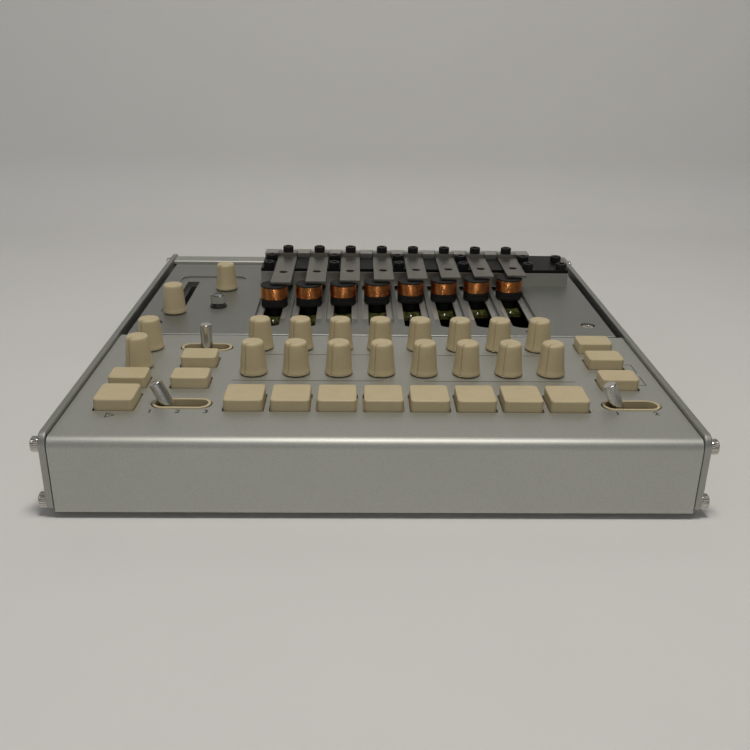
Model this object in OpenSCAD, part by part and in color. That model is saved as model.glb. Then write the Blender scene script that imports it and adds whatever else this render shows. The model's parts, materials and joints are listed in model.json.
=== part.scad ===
// Desktop synthesizer with eight magnet-driven steel resonators.
// X runs to the right, Y to the back and Z up. Depths are counted from the front face,
// heights from the table, and the whole part is then centred on its footprint.

/* [Case] */
// Width over the side plates
case_w = 225; // [222:0.5:240]
// Depth of the side plates
case_d = 234; // [231:0.5:245]
// Thickness of a side plate
plate_t = 2.5; // [2:0.1:4]
// Corner radius of a side plate
plate_corner = 4; // [3:0.5:6]
// Rise of the side plates above the control panel
plate_rise = 1.5; // [0.5:0.1:3]
// Drop of the side plates below the front face
plate_dip = 0.8; // [0.2:0.1:1.5]
// Thickness of the panel sheets
sheet_t = 1.5; // [1.2:0.1:2]
// Height of the front face
face_h = 27.7; // [26:0.1:34]
// Outer radius of the front bend, which also rounds the screw bosses
bend_r = 3.5; // [3:0.1:4.5]
// Depth of the control panel
panel_d = 100.6; // [99:0.1:106]
// Gap between a panel end and a side plate
side_gap = 0.3; // [0.1:0.05:0.5]
// Height of a rubber foot
foot_h = 2.5; // [2:0.1:6]
// Diameter of a rubber foot
foot_d = 12; // [8:0.5:16]
// Distance of the feet from the middle of the case
foot_x = 92; // [70:1:96]
// Distance of the feet from the front and the back edge
foot_inset = 24; // [20:1:40]

/* [Deck] */
// Drop of the deck below the control panel
deck_drop = 0; // [0:0.1:0.5]
// Thickness of the deck plate
deck_t = 3.5; // [3:0.1:4.5]
// Gap between the control panel and the deck
deck_gap = 1.6; // [1:0.1:2.5]
// Gap between the deck and a side plate
deck_side_gap = 2.8; // [2:0.1:4]
// Gap between the deck and the rear flange
deck_back_gap = 4.5; // [2:0.1:6]
// Radius of the front edge of the deck
deck_nose = 0.6; // [0.3:0.1:1]
// Depth of the shallow pocket on the left
pocket_depth = 0.6; // [0.3:0.1:1]
// Width of the pocket
pocket_w = 33.7; // [32:0.1:36]
// Length of the pocket
pocket_l = 62.4; // [60:0.1:68]
// Front edge of the deck to the pocket, one of two gaps that share the length beside the pocket
pocket_front = 26.7; // [24:0.1:30]
// Pocket to the back edge of the deck
pocket_rear = 23.2; // [21:0.1:26]
// Left edge of the deck to the pocket, one of two gaps that share the width beside the pocket
pocket_left = 7.9; // [6:0.1:10]
// Corner radius of the pocket
pocket_r = 5; // [3:0.5:8]
// Volume knob to the right of the middle of the pocket
volume_right = 8.8; // [8.5:0.1:10]
// Volume knob in front of the back end of the pocket
volume_front = 20; // [18:0.1:22]
// Light guide behind the front end of the pocket
guide_behind = 13.7; // [12:0.1:18]
// Diameter of the clear light guide
guide_d = 7.1; // [5:0.1:9]
// Height of the light guide
guide_h = 6; // [4:0.1:9]
// Distance of the deck screws from the side plates
deck_screw_inset = 11.6; // [9:0.1:16]
// Deck screws behind the front edge of the deck
deck_screw_back = 14.6; // [8:0.1:16]
// Diameter of the bores that sink the deck screws
deck_bore_d = 6.5; // [6.2:0.1:8]
// Depth of the bores that sink the deck screws
deck_bore = 2; // [1.6:0.1:2.5]
// Diameter of the pin hole in the deck
pin_d = 2; // [1.5:0.1:3]
// Pin hole in front of the last deck slot
pin_front = 4.7; // [3:0.1:6]

/* [Rear] */
// Inset of the rear face from the back edge of the side plates
rear_inset = 2.5; // [2:0.1:4]
// Rise of the rear flange above the control panel
rear_rise = 0.8; // [0:0.1:1.2]
// Depth of the rear flange
flange_d = 12.5; // [10:0.1:13]
// Diameter of the rolled lip of the rear flange
lip_d = 2.2; // [1.8:0.1:3]
// Spacing of the jack sockets
jack_pitch = 16; // [12:0.5:20]
// Bore of a jack socket
jack_bore = 3.6; // [3.5:0.05:3.8]
// Height of the socket axes above the base plate
jack_z = 10; // [7:0.5:11]

/* [Fasteners] */
// Thread diameter of the screws
screw_d = 3; // [2.5:0.1:3.2]
// Head diameter of a cap screw
head_d = 5.5; // [5:0.1:6]
// Head height of a cap screw
head_h = 3; // [2:0.1:3.5]
// Width across the flats of the socket
socket_af = 2.5; // [2:0.1:3]
// Radial play of a screw in its thread
thread_play = 0.05; // [0.03:0.01:0.1]
// Radial play of a screw in a clearance hole
hole_play = 0.2; // [0.1:0.05:0.4]

/* [Knobs] */
// Diameter of a knob at its skirt
knob_base_d = 11; // [10:0.1:12.5]
// Diameter of a knob at its top
knob_top_d = 8.6; // [8:0.1:9.5]
// Height of a knob
knob_h = 12.8; // [11:0.1:15]
// Gap under a knob
knob_lift = 0.4; // [0.3:0.05:0.8]
// Angle of the pointer from the front at the low end of its turn
pointer_angle = 32; // [25:1:50]
// Diameter of a potentiometer shaft
shaft_d = 6; // [5:0.1:6.2]
// Radial play of a shaft in its bushing
shaft_play = 0.05; // [0.03:0.01:0.1]
// Height of a potentiometer body
pot_h = 6.8; // [6:0.1:7.5]
// Width of a potentiometer body
pot_w = 9.5; // [9:0.1:11]
// Depth of a potentiometer body
pot_d = 11; // [9:0.1:12]
// Diameter of a potentiometer bushing
bushing_d = 7; // [6.8:0.1:7.5]

/* [Buttons] */
// Width of a button
button_w = 14.1; // [13:0.1:14.4]
// Depth of a step button
step_button_d = 14.7; // [12:0.1:15.5]
// Depth of a small button
small_button_d = 10.5; // [9:0.1:12]
// Rise of a button above the panel
button_rise = 4.3; // [3:0.1:5]
// Corner radius of a button
button_r = 1.6; // [1:0.1:3]
// Gap around a button in its cut-out
button_gap = 0.45; // [0.3:0.05:0.5]
// Corner radius of the cut-out of a button
cutout_r = 0.8; // [0.5:0.1:1.6]
// Travel of a button
button_travel = 1.2; // [0.8:0.1:1.8]
// Width of the retaining rim under the panel
button_rim = 0.6; // [0.4:0.1:0.7]

/* [Control rows] */
// Spacing of the eight columns
step_pitch = 16.7; // [16.6:0.05:17]
// Left side plate to the left column, the first of five gaps that share the width beside the eight
left_gap = 16.8; // [15:0.1:19]
// Left column to the second column
second_gap = 23.2; // [21:0.1:25]
// Second column to the first of the eight
step_gap = 22.55; // [21:0.05:25]
// Last of the eight to the right column
right_gap = 23.55; // [21:0.05:25]
// Right column to the right side plate
edge_gap = 17; // [15:0.1:19]
// Front edge to the step buttons, the first of five gaps that share the depth of the control panel
step_front = 30.1; // [28:0.1:32]
// Step buttons to the front row of small buttons
small_front_gap = 17.9; // [17:0.1:20]
// Front row to the middle row of small buttons
small_middle_gap = 20.8; // [18:0.1:22]
// Middle row to the rear row of small buttons
small_rear_gap = 17.6; // [16:0.1:19]
// Rear row of small buttons to the back edge
small_back = 14.2; // [13.2:0.1:15]
// Rear knob row in front of the rear row of small buttons
knob_rear_lead = 0.5; // [0:0.1:2]
// Front knob row behind the midway line from the step buttons to the rear knobs
knob_front_shift = 0.5; // [-1:0.1:2]
// Rear knob of the left column in front of the rear row of small buttons
left_rear_lead = 1.7; // [1:0.1:3]
// Front knob of the left column in front of the midway line from its button to its rear knob
left_front_shift = 2.45; // [2:0.05:3.5]
// Front toggles in front of the step buttons
toggle_front_lead = 1.35; // [1:0.05:3]
// Rear toggle in front of the rear row of small buttons
toggle_rear_lead = 0.75; // [0:0.05:2]

/* [Toggles] */
// Diameter of a toggle lever
lever_d = 4.9; // [4.2:0.1:5.2]
// Length of a toggle lever above its pivot
lever_l = 22.2; // [20:0.1:24]
// Swing of a lever to either side
toggle_throw = 24; // [18:1:26]
// Depth of the pivot below the top of the panel
pivot_drop = 11.8; // [11:0.1:13]
// Width of a bezel
bezel_w = 21.1; // [20:0.1:22]
// Width of the rim of a bezel
bezel_rim = 1.1; // [1:0.1:1.4]
// Height of a bezel above the panel
bezel_h = 0.4; // [0.3:0.1:1]
// Open gap in the panel at either end of a bezel
bezel_end_gap = 0.45; // [0.2:0.05:0.6]
// Diameter of the pivot pin
pivot_d = 2; // [1.6:0.1:2.2]

/* [Slider] */
// Travel of the slider
slider_travel = 49; // [45:0.5:51]
// Slider at its front end, behind the front end of the pocket
slider_behind = 2.9; // [2.5:0.1:4]
// Middle of the slider slot to the left of the middle of the pocket
slider_left = 9.9; // [9:0.1:11]
// Width of the slider slot
slider_slot_w = 6; // [5:0.1:7]
// Length of the slider tongue
tongue_l = 4; // [3:0.1:4.5]
// Thickness of the slider tongue
tongue_t = 1.4; // [1:0.1:2]
// Height of the slider cap
slider_h = 13.3; // [11:0.1:15]
// Diameter of the slider cap at its base
slider_base_d = 10.8; // [10:0.1:12]
// Diameter of the slider cap at its top
slider_top_d = 8.7; // [8:0.1:10]

/* [Resonators] */
// Pocket to the middle of the first resonator
strip_left_gap = 21.5; // [20:0.1:23]
// Resonators to the right of their magnets, which stand in line with the steps
strip_right = 3.35; // [2:0.05:4]
// Width of a resonator
strip_w = 9.8; // [8:0.1:10.5]
// Thickness of a resonator
strip_t = 1.2; // [0.8:0.1:1.6]
// Length of the first and longest resonator
strip_l = 55.4; // [54:0.1:60]
// Each next resonator is shorter by
strip_step = 2.15; // [1.5:0.05:2.3]
// Diameter of the hole in a resonator
strip_hole = 4.1; // [3:0.1:5]
// Thickness of a clamp plate
clamp_t = 1.5; // [1:0.1:2]
// Depth of a clamp plate
clamp_d = 5.9; // [5.6:0.1:7]

/* [Bridge] */
// Distance of the bridge from the back edge of the side plates
bridge_inset = 28.6; // [27.5:0.1:30]
// Last resonator to the right end of the bridge, one of two gaps that share the width
bridge_right = 29.05; // [27:0.05:31]
// Right end of the bridge to the right edge of the deck
bridge_end_gap = 5.35; // [3:0.05:8]
// Depth of the bridge block and its bar
bridge_d = 28.8; // [28:0.1:31]
// Height of the bridge block
bridge_h = 7.3; // [6:0.1:9]
// Thickness of the bar on the block
bar_t = 1.6; // [1.2:0.1:2.5]
// Distance of the clamp screws from the back face of the bridge
clamp_back = 5.2; // [5.1:0.1:6]
// Depth of the spine of the clamp rail, behind its notches
spine_d = 2; // [1.5:0.1:2.5]
// Play of a resonator in its notch, each side
notch_play = 0.2; // [0.1:0.05:0.3]

/* [Magnets] */
// Gap between a magnet and its resonator
strike_gap = 0.5; // [0.3:0.1:2]
// Distance of a magnet axis behind the free end of its resonator
coil_back = 2.5; // [1.5:0.1:4]
// Diameter of the top flange of a bobbin
coil_flange_d = 13; // [12.6:0.1:14]
// Thickness of the top flange of a bobbin
coil_flange_t = 0.7; // [0.6:0.1:1.5]
// Diameter of the lower body of a bobbin
coil_body_d = 12.7; // [12.2:0.1:13.8]
// Height of a winding
winding_h = 5.8; // [4.8:0.1:6.2]
// Diameter of the spool that carries a winding
spool_d = 8.8; // [8:0.1:10]
// Diameter of the plain inner layers of a winding
winding_core_d = 11.3; // [11:0.1:12]
// Diameter of the winding wire of the outer layer
wire_d = 0.4; // [0.3:0.02:0.44]
// Loops of the outer layer
wire_loops = 5; // [3:1:5]
// Points in each loop
loop_points = 16; // [12:2:24]
// Width of a deck slot at the top
slot_w = 14.5; // [14.2:0.1:15]
// Width of a deck slot below its ledges
slot_inner_w = 8.7; // [8:0.1:9.5]
// Drop of the ledges below the deck
ledge_drop = 2.5; // [1.5:0.1:2.8]
// Front ends of the slots behind the front edge of the deck
slot_front = 10.5; // [9:0.1:14]
// Gap between a bobbin stem and its slot, each side
stem_gap = 0.25; // [0.2:0.05:0.4]

/* [Boards] */
// Thickness of a circuit board
board_t = 1.6; // [1:0.1:2]
// Gap between a potentiometer and the control panel
pot_gap = 0.9; // [0.3:0.1:0.9]
// Drop of the magnet boards below the deck plate
magnet_board_drop = 3.3; // [2.5:0.1:5]
// Width of a magnet board
magnet_board_w = 10.7; // [9:0.1:14]
// Magnet board in front of the axis of its magnet
magnet_board_lead = 12.7; // [9:0.1:15]
// Magnet board behind the axis of its magnet
magnet_board_tail = 6.8; // [5:0.1:12]
// Diameter of a standoff
post_d = 5; // [5:0.1:7]

/* [Hidden] */
$fn = 64;
voices = 8;
eps = 0.01;

// Heights
base_top = foot_h + sheet_t;
panel_top = foot_h + face_h;
panel_under = panel_top - sheet_t;
deck_top = panel_top - deck_drop;
deck_under = deck_top - deck_t;
pocket_floor = deck_top - pocket_depth;
ledge_z = deck_top - ledge_drop;
rear_top = panel_top + rear_rise;
plate_z0 = foot_h - plate_dip;
plate_z1 = panel_top + plate_rise;
pot_top = panel_under - pot_gap;
board_top = pot_top - pot_h;
board_under = board_top - board_t;
magnet_board_top = deck_under - magnet_board_drop;
bar_top = deck_top + bridge_h + bar_t;
clamp_top = bar_top + strip_t + clamp_t;
coil_top = bar_top - strike_gap;
winding_z1 = coil_top - coil_flange_t;
winding_z0 = winding_z1 - winding_h;
pivot_z = panel_top - pivot_drop;

// Widths and depths
inner_w = case_w - 2 * plate_t;
panel_w = inner_w - 2 * side_gap;
rear_face = case_d - rear_inset;
seat_gap = 0.3;
deck_front = panel_d + deck_gap;
deck_back = rear_face - flange_d - deck_back_gap;
deck_w = inner_w - 2 * deck_side_gap;
bridge_y1 = case_d - bridge_inset;
bridge_y0 = bridge_y1 - bridge_d;
slot_y0 = deck_front + slot_front;
ledge_w = (slot_w - slot_inner_w) / 2;
pocket_length_fill = (deck_back - deck_front - pocket_l) / (pocket_front + pocket_rear);
pocket_y0 = deck_front + pocket_front * pocket_length_fill;
pocket_y1 = pocket_y0 + pocket_l;

// Columns and rows of the control panel: the named gaps, stretched alike to fill the panel
column_gaps = left_gap + second_gap + step_gap + right_gap + edge_gap;
column_fill = (inner_w - (voices - 1) * step_pitch) / column_gaps;
left_col = left_gap * column_fill - inner_w / 2;
second_col = left_col + second_gap * column_fill;
first_col = second_col + step_gap * column_fill;
right_col = inner_w / 2 - edge_gap * column_fill;
row_gaps = step_front + small_front_gap + small_middle_gap + small_rear_gap + small_back;
row_fill = panel_d / row_gaps;
step_row = step_front * row_fill;
small_row_front = step_row + small_front_gap * row_fill;
small_row_middle = small_row_front + small_middle_gap * row_fill;
small_row_rear = small_row_middle + small_rear_gap * row_fill;
knob_row_rear = small_row_rear - knob_rear_lead;
knob_row_front = (step_row + knob_row_rear) / 2 + knob_front_shift;
left_knob_rear = small_row_rear - left_rear_lead;
left_knob_front = (small_row_front + left_knob_rear) / 2 - left_front_shift;
toggle_row_front = step_row - toggle_front_lead;
toggle_row_rear = small_row_rear - toggle_rear_lead;

// Lip that stiffens the back edge of the control panel
return_h = 5;

// Screw bosses of the panels and the lower blocks that carry the base plate
block_d = 6.6;
block_h = 5.7;
base_tuck = 6;
boss_depth = 14;
block_screw_z = foot_h + 2.9;
case_screw_l = 10;
base_screw_x = 60;
base_screw_y = block_d + base_tuck / 2;
base_screw_l = 5;
base_screw_head_r = 2.9;
cone_play = 0.1;
base_screw_head_h = sheet_t - cone_play;

// Controls
button_rim_t = 1;
button_stem_d = 3.4;
stem_play = 0.15;
stem_dip = 0.4;
switch_size = 6;
switch_h = 3.5;
bore_floor = 0.3;
pot_bore = 5.8;
shaft_dip = pot_bore - bore_floor;
knob_bore = 7.4;
shaft_rise = knob_bore - bore_floor;
bushing_gap = 0.3;
lever_gap = 0.65;
collar_t = 0.7;
collar_gap = 0.2;
housing_h = 6.5;
housing_wall = 1;
housing_side = 1.6;
housing_fit = 0.3;
housing_flange = 1.5;
housing_flange_t = 1;
lever_reach = (panel_top + bezel_h - pivot_z) * tan(toggle_throw) + lever_d / 2 / cos(toggle_throw);
lever_half = lever_reach + lever_gap;
lever_slot_d = lever_d + 2 * lever_gap;
bezel_d = lever_slot_d + 2 * bezel_rim;
slot_half = bezel_w / 2 - bezel_rim;
collar_z = board_top + housing_h + seat_gap;
housing_w = 2 * (lever_half + housing_wall);
housing_d = lever_slot_d + 2 * housing_side;
lever_slot_z = pivot_z - lever_d / 2 - bore_floor;
pocket_width_fill = (strip_x(1) + deck_w / 2 - pocket_w) / (pocket_left + strip_left_gap);
pocket_x = (pocket_w - deck_w) / 2 + pocket_left * pocket_width_fill;
slider_x = pocket_x - slider_left;
slider_y = pocket_y0 + slider_behind;
fader_w = 7;
fader_h = 7.5;
fader_margin = 8;
fader_channel_w = tongue_t + 1.6;
tongue_dip = 5;
slider_slot_y0 = slider_y - tongue_l / 2 - seat_gap;
slider_slot_y1 = slider_y + slider_travel + tongue_l / 2 + seat_gap;
volume_x = pocket_x + volume_right;
volume_y = pocket_y1 - volume_front;
guide_x = volume_x;
guide_y = pocket_y0 + guide_behind;
guide_spigot_d = 4;

// Resonators, clamps and bridge
clamp_y = bridge_y1 - clamp_back;
clamp_screw_l = 9;
rail_y0 = clamp_y - clamp_d / 2;
rail_y1 = clamp_y + clamp_d / 2 + spine_d;
strip_y1 = clamp_y + clamp_d / 2 - notch_play;
strip_hole_back = 18.3;
strip_hole_step = 0.73;
rail_margin = 12.2;
bridge_left = 12.4;
bridge_fill = (deck_w / 2 - strip_x(voices)) / (bridge_right + bridge_end_gap);
bar_screw_edge = 2.8;
bar_screw_gap = 0.7;
bar_screw_front = bridge_y0 + bar_screw_edge;
bar_screw_back = rail_y0 - head_d / 2 - bar_screw_gap;
bar_screw_end = 3.3;
bar_screw_l = 8;
stem_d = slot_inner_w - 2 * stem_gap;
core_play = 0.1;
wire_play = 0.05;
wire_r = winding_core_d / 2 / cos(180 / loop_points) + wire_play + wire_d / 2;
wire_pitch = (winding_h - 2 * wire_d) / wire_loops;

function step_x(k) = first_col + (k - 1) * step_pitch;
function coil_x(k) = step_x(k);
function strip_x(k) = coil_x(k) + strip_right;
function strip_y0(k) = strip_y1 - strip_l + strip_step * (k - 1);
function coil_y(k) = strip_y0(k) + coil_back;
function strip_hole_y(k) = strip_y0(k) + strip_hole_back - strip_hole_step * (k - 1);

bar_left = strip_x(1) - bridge_left;
bar_right = strip_x(voices) + bridge_right * bridge_fill;
// The bar screws stand on every second boundary between resonators, and at the far end
bar_screw_xs = concat(
  [for (j = [0:2:voices]) strip_x(1) + (j - 0.5) * step_pitch],
  [bar_right - bar_screw_end]
);
deck_screw_x = inner_w / 2 - deck_screw_inset;
deck_screw_y = deck_front + deck_screw_back;
deck_screw_l = 8;
deck_screw_head_h = 1.6;

// Every rotary knob on the control panel: name, place
panel_knobs = concat(
  [for (k = [1:voices]) [str("rear_knob_", k), step_x(k), knob_row_rear]],
  [for (k = [1:voices]) [str("front_knob_", k), step_x(k), knob_row_front]],
  [
    ["left_rear_knob", left_col, left_knob_rear],
    ["left_front_knob", left_col, left_knob_front]
  ]
);
// Every button: name, place, depth
buttons = concat(
  [for (k = [1:voices]) [str("step_button_", k), step_x(k), step_row, step_button_d]],
  [
    ["play_button", left_col, step_row, step_button_d],
    ["record_button", left_col, small_row_front, small_button_d],
    ["mute_button", second_col, small_row_front, small_button_d],
    ["function_button", second_col, small_row_middle, small_button_d],
    ["right_front_button", right_col, small_row_front, small_button_d],
    ["right_middle_button", right_col, small_row_middle, small_button_d],
    ["right_rear_button", right_col, small_row_rear, small_button_d]
  ]
);
// Every toggle: name, place, lean at rest
toggles = [
  ["mode_toggle", second_col, toggle_row_front, -toggle_throw],
  ["rear_toggle", second_col, toggle_row_rear, 0],
  ["bank_toggle", right_col, toggle_row_front, -toggle_throw]
];

// Colours
silver = [0.72, 0.72, 0.71];
deck_grey = [0.6, 0.61, 0.59];
dark_grey = [0.24, 0.25, 0.27];
steel = [0.66, 0.65, 0.62];
black = [0.06, 0.06, 0.06];
cream = [0.87, 0.8, 0.69];
copper = [0.72, 0.37, 0.15];
board_green = [0.3, 0.34, 0.16];
clear = [0.75, 0.78, 0.76, 0.5];

// Places the part on its origin
module centred() {
  translate([0, -case_d / 2, 0]) children();
}

// Sweeps a profile drawn in depth and height along the width of the case
module along_x(length) {
  translate([-length / 2, 0, 0]) rotate([90, 0, 90]) linear_extrude(length) children();
}

module slab(x0, x1, y0, y1, z0, z1) {
  translate([x0, y0, z0]) cube([x1 - x0, y1 - y0, z1 - z0]);
}

module pillar(x, y, z0, z1, d) {
  translate([x, y, z0]) cylinder(d = d, h = z1 - z0);
}

module rounded_rect(w, d, r) {
  square([w - 2 * r, d], center = true);
  square([w, d - 2 * r], center = true);
  for (sx = [-1, 1], sy = [-1, 1]) {
    translate([sx * (w / 2 - r), sy * (d / 2 - r)]) circle(r);
  }
}

// Rounded block with its middle at x, y
module rounded_slab(x, y, w, d, r, z0, z1) {
  translate([x, y, z0]) linear_extrude(z1 - z0) rounded_rect(w, d, r);
}

// Slab about a middle
module centred_slab(x, y, w, d, z0, z1) {
  slab(x - w / 2, x + w / 2, y - d / 2, y + d / 2, z0, z1);
}

// Slot with round ends that runs along Y
module slot_y(x, y0, y1, w, z0, z1) {
  slab(x - w / 2, x + w / 2, y0 + w / 2, y1 - w / 2, z0, z1);
  pillar(x, y0 + w / 2, z0, z1, w);
  pillar(x, y1 - w / 2, z0, z1, w);
}

// Slot with round ends that runs along X
module slot_x(x, y, l, w, z0, z1) {
  slab(x - l / 2 + w / 2, x + l / 2 - w / 2, y - w / 2, y + w / 2, z0, z1);
  for (s = [-1, 1]) pillar(x + s * (l / 2 - w / 2), y, z0, z1, w);
}

// Cap screw standing on z = 0 with its shank below
module cap_screw(length, high = head_h) {
  difference() {
    cylinder(d = head_d, h = high);
    translate([0, 0, high / 2]) cylinder(d = socket_af / cos(30), h = high, $fn = 6);
  }
  translate([0, 0, -length]) cylinder(d = screw_d - 2 * thread_play, h = length + eps);
}

// The four screw axes at the end of the case, as depth and height
module at_case_screws() {
  for (place = [
    [bend_r, panel_top - bend_r],
    [bend_r, block_screw_z],
    [rear_face - bend_r, rear_top - bend_r],
    [rear_face - bend_r, block_screw_z]
  ]) {
    translate([0, place[0], place[1]]) children();
  }
}

// Threaded holes in the ends of the panels, for the case screws
module boss_holes() {
  at_case_screws() for (s = [-1, 1]) {
    translate([s * (panel_w / 2 - boss_depth / 2), 0, 0]) rotate([0, 90, 0])
      cylinder(d = screw_d, h = boss_depth + eps, center = true);
  }
}

module at_base_screws() {
  for (s = [-1, 1], y = [base_screw_y, rear_face - base_screw_y]) {
    translate([s * base_screw_x, y, foot_h]) children();
  }
}

// Threaded holes in the lower blocks, for the base screws
module base_screw_holes() {
  at_base_screws() cylinder(d = screw_d, h = base_screw_l + seat_gap);
}

// Lower block with the shelf that the base plate is screwed to
module block_profile() {
  translate([0, foot_h]) square([block_d, block_h]);
  translate([0, base_top]) square([block_d + base_tuck, block_h - sheet_t]);
}

module front_panel() {
  color(silver) centred() difference() {
    along_x(panel_w) {
      translate([bend_r, panel_under]) square([panel_d - bend_r, sheet_t]);
      translate([panel_d - sheet_t, panel_top - return_h]) square([sheet_t, return_h]);
      translate([0, foot_h]) square([sheet_t, face_h - bend_r]);
      translate([bend_r, panel_top - bend_r]) circle(bend_r);
      block_profile();
    }
    boss_holes();
    base_screw_holes();
    for (knob = panel_knobs) {
      pillar(knob[1], knob[2], panel_under - eps, panel_top + eps, bushing_d + 2 * bushing_gap);
    }
    for (button = buttons) {
      rounded_slab(
        button[1], button[2], button_w + 2 * button_gap, button[3] + 2 * button_gap,
        cutout_r, panel_under - eps, panel_top + eps
      );
    }
    for (toggle = toggles) {
      slot_x(
        toggle[1], toggle[2], bezel_w + 2 * bezel_end_gap,
        lever_slot_d + 2 * (collar_t + collar_gap), panel_under - eps, panel_top + eps
      );
    }
  }
}

// The two screw axes of the deck, on the floor of the bores that sink their heads
module at_deck_screws() {
  for (s = [-1, 1]) translate([s * deck_screw_x, deck_screw_y, deck_top - deck_bore]) children();
}

module deck_panel() {
  color(deck_grey) centred() difference() {
    along_x(deck_w) {
      translate([deck_front, deck_under]) square([deck_back - deck_front, deck_t - deck_nose]);
      translate([deck_front + deck_nose, deck_under]) square([deck_back - deck_front - deck_nose, deck_t]);
      translate([deck_front + deck_nose, deck_top - deck_nose]) circle(deck_nose);
    }
    rounded_slab(
      pocket_x, (pocket_y0 + pocket_y1) / 2, pocket_w, pocket_l, pocket_r, pocket_floor, deck_top + eps
    );
    slab(
      slider_x - slider_slot_w / 2, slider_x + slider_slot_w / 2, slider_slot_y0, slider_slot_y1,
      deck_under - eps, deck_top
    );
    pillar(volume_x, volume_y, deck_under - eps, deck_top, bushing_d + 2 * bushing_gap);
    pillar(guide_x, guide_y, deck_under - eps, deck_top, guide_spigot_d + 2 * hole_play);
    pillar(coil_x(voices), slot_y0 - pin_front, deck_under - eps, deck_top + eps, pin_d);
    at_deck_screws() {
      cylinder(d = deck_bore_d, h = deck_bore + eps);
      cylinder(d = screw_d + 2 * hole_play, h = 4 * deck_t, center = true);
    }
    for (k = [1:voices]) {
      slot_y(coil_x(k), slot_y0, bridge_y0 + slot_w / 2, slot_w, ledge_z, deck_top + eps);
      slot_y(coil_x(k), slot_y0 + ledge_w, bridge_y0, slot_inner_w, deck_under - eps, deck_top);
    }
  }
}

module rear_panel() {
  color(silver) centred() difference() {
    along_x(panel_w) {
      translate([rear_face - sheet_t, foot_h]) square([sheet_t, rear_top - bend_r - foot_h]);
      translate([rear_face - bend_r, rear_top - bend_r]) circle(bend_r);
      translate([rear_face - flange_d + lip_d / 2, rear_top - sheet_t])
        square([flange_d - lip_d / 2 - bend_r, sheet_t]);
      translate([rear_face - flange_d + lip_d / 2, rear_top - lip_d / 2]) circle(d = lip_d);
      translate([deck_back - rear_shelf_lap, deck_under - rear_shelf_t])
        square([rear_face - deck_back + rear_shelf_lap, rear_shelf_t]);
      translate([rear_face, 0]) mirror([1, 0]) block_profile();
    }
    boss_holes();
    base_screw_holes();
    at_sockets() rotate([90, 0, 0]) {
      cylinder(d = sleeve_d + 2 * hole_play, h = 4 * sheet_t, center = true);
    }
  }
}

module base_plate() {
  front = block_d + seat_gap;
  color(dark_grey) centred() {
    difference() {
      slab(-panel_w / 2, panel_w / 2, front, rear_face - front, foot_h, base_top);
      at_base_screws() {
        translate([0, 0, -eps])
          cylinder(r1 = base_screw_head_r + cone_play, r2 = screw_d / 2 + cone_play, h = base_screw_head_h);
        cylinder(d = screw_d + 2 * hole_play, h = sheet_t + eps);
      }
    }
    for (place = board_posts) pillar(place[0], place[1], base_top, board_under, post_d);
    difference() {
      for (s = [-1, 1]) pillar(s * deck_screw_x, deck_screw_y, base_top, deck_under, post_d);
      at_deck_screws() translate([0, 0, -deck_screw_l - seat_gap]) cylinder(d = screw_d, h = deck_screw_l);
    }
  }
}

module side_plate(side) {
  centred() difference() {
    translate([side * (inner_w + plate_t) / 2, case_d / 2, (plate_z0 + plate_z1) / 2])
      rotate([90, 0, 90]) linear_extrude(plate_t, center = true)
        rounded_rect(case_d, plate_z1 - plate_z0, plate_corner);
    at_case_screws() rotate([0, 90, 0]) {
      cylinder(d = screw_d + 2 * hole_play, h = case_w + 1, center = true);
    }
  }
}

module left_side_plate() {
  color(silver) side_plate(-1);
}

module right_side_plate() {
  color(silver) side_plate(1);
}

module case_screws() {
  color(steel) centred() {
    at_case_screws() for (s = [-1, 1]) {
      translate([s * case_w / 2, 0, 0]) rotate([0, s * 90, 0]) cap_screw(case_screw_l);
    }
    at_deck_screws() cap_screw(deck_screw_l, deck_screw_head_h);
    at_base_screws() {
      cylinder(r1 = base_screw_head_r, r2 = screw_d / 2 - thread_play, h = base_screw_head_h);
      cylinder(d = screw_d - 2 * thread_play, h = base_screw_l);
    }
  }
}

module rubber_feet() {
  color(black) centred() for (s = [-1, 1], y = [foot_inset, case_d - foot_inset]) {
    pillar(s * foot_x, y, 0, foot_h, foot_d);
  }
}

module at_bar_screws() {
  for (x = bar_screw_xs, y = [bar_screw_front, bar_screw_back]) {
    translate([x, y, bar_top]) children();
  }
}

module at_clamp_screws() {
  for (k = [1:voices]) translate([strip_x(k), clamp_y, clamp_top]) children();
}

module bridge_block() {
  color(silver) centred() difference() {
    slab(bar_left, bar_right, bridge_y0, bridge_y1, deck_top, deck_top + bridge_h);
    at_bar_screws() translate([0, 0, -bar_screw_l - seat_gap]) cylinder(d = screw_d, h = bar_screw_l);
    at_clamp_screws() translate([0, 0, -clamp_screw_l - seat_gap]) {
      cylinder(d = screw_d, h = clamp_screw_l);
    }
  }
}

module bridge_bar() {
  color(dark_grey) centred() difference() {
    slab(bar_left, bar_right, bridge_y0, bridge_y1, bar_top - bar_t, bar_top);
    at_bar_screws() cylinder(d = screw_d + 2 * hole_play, h = 4 * bar_t, center = true);
    for (k = [1:voices]) {
      pillar(strip_x(k), clamp_y, bar_top - bar_t - eps, bar_top + eps, screw_d + 2 * hole_play);
    }
  }
}

module clamp_rail() {
  notch_w = strip_w + 2 * notch_play;
  color(silver) centred() difference() {
    slab(
      strip_x(1) - rail_margin, strip_x(voices) + rail_margin, rail_y0, rail_y1, bar_top, clamp_top
    );
    for (k = [1:voices]) {
      slab(
        strip_x(k) - notch_w / 2, strip_x(k) + notch_w / 2, rail_y0 - eps, rail_y1 - spine_d,
        bar_top - eps, clamp_top + eps
      );
    }
  }
}

module clamp_plates() {
  color(steel) centred() for (k = [1:voices]) difference() {
    slab(
      strip_x(k) - strip_w / 2, strip_x(k) + strip_w / 2, rail_y0, rail_y1 - spine_d - notch_play,
      bar_top + strip_t, clamp_top
    );
    pillar(strip_x(k), clamp_y, bar_top, clamp_top + eps, screw_d + 2 * hole_play);
  }
}

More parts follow.
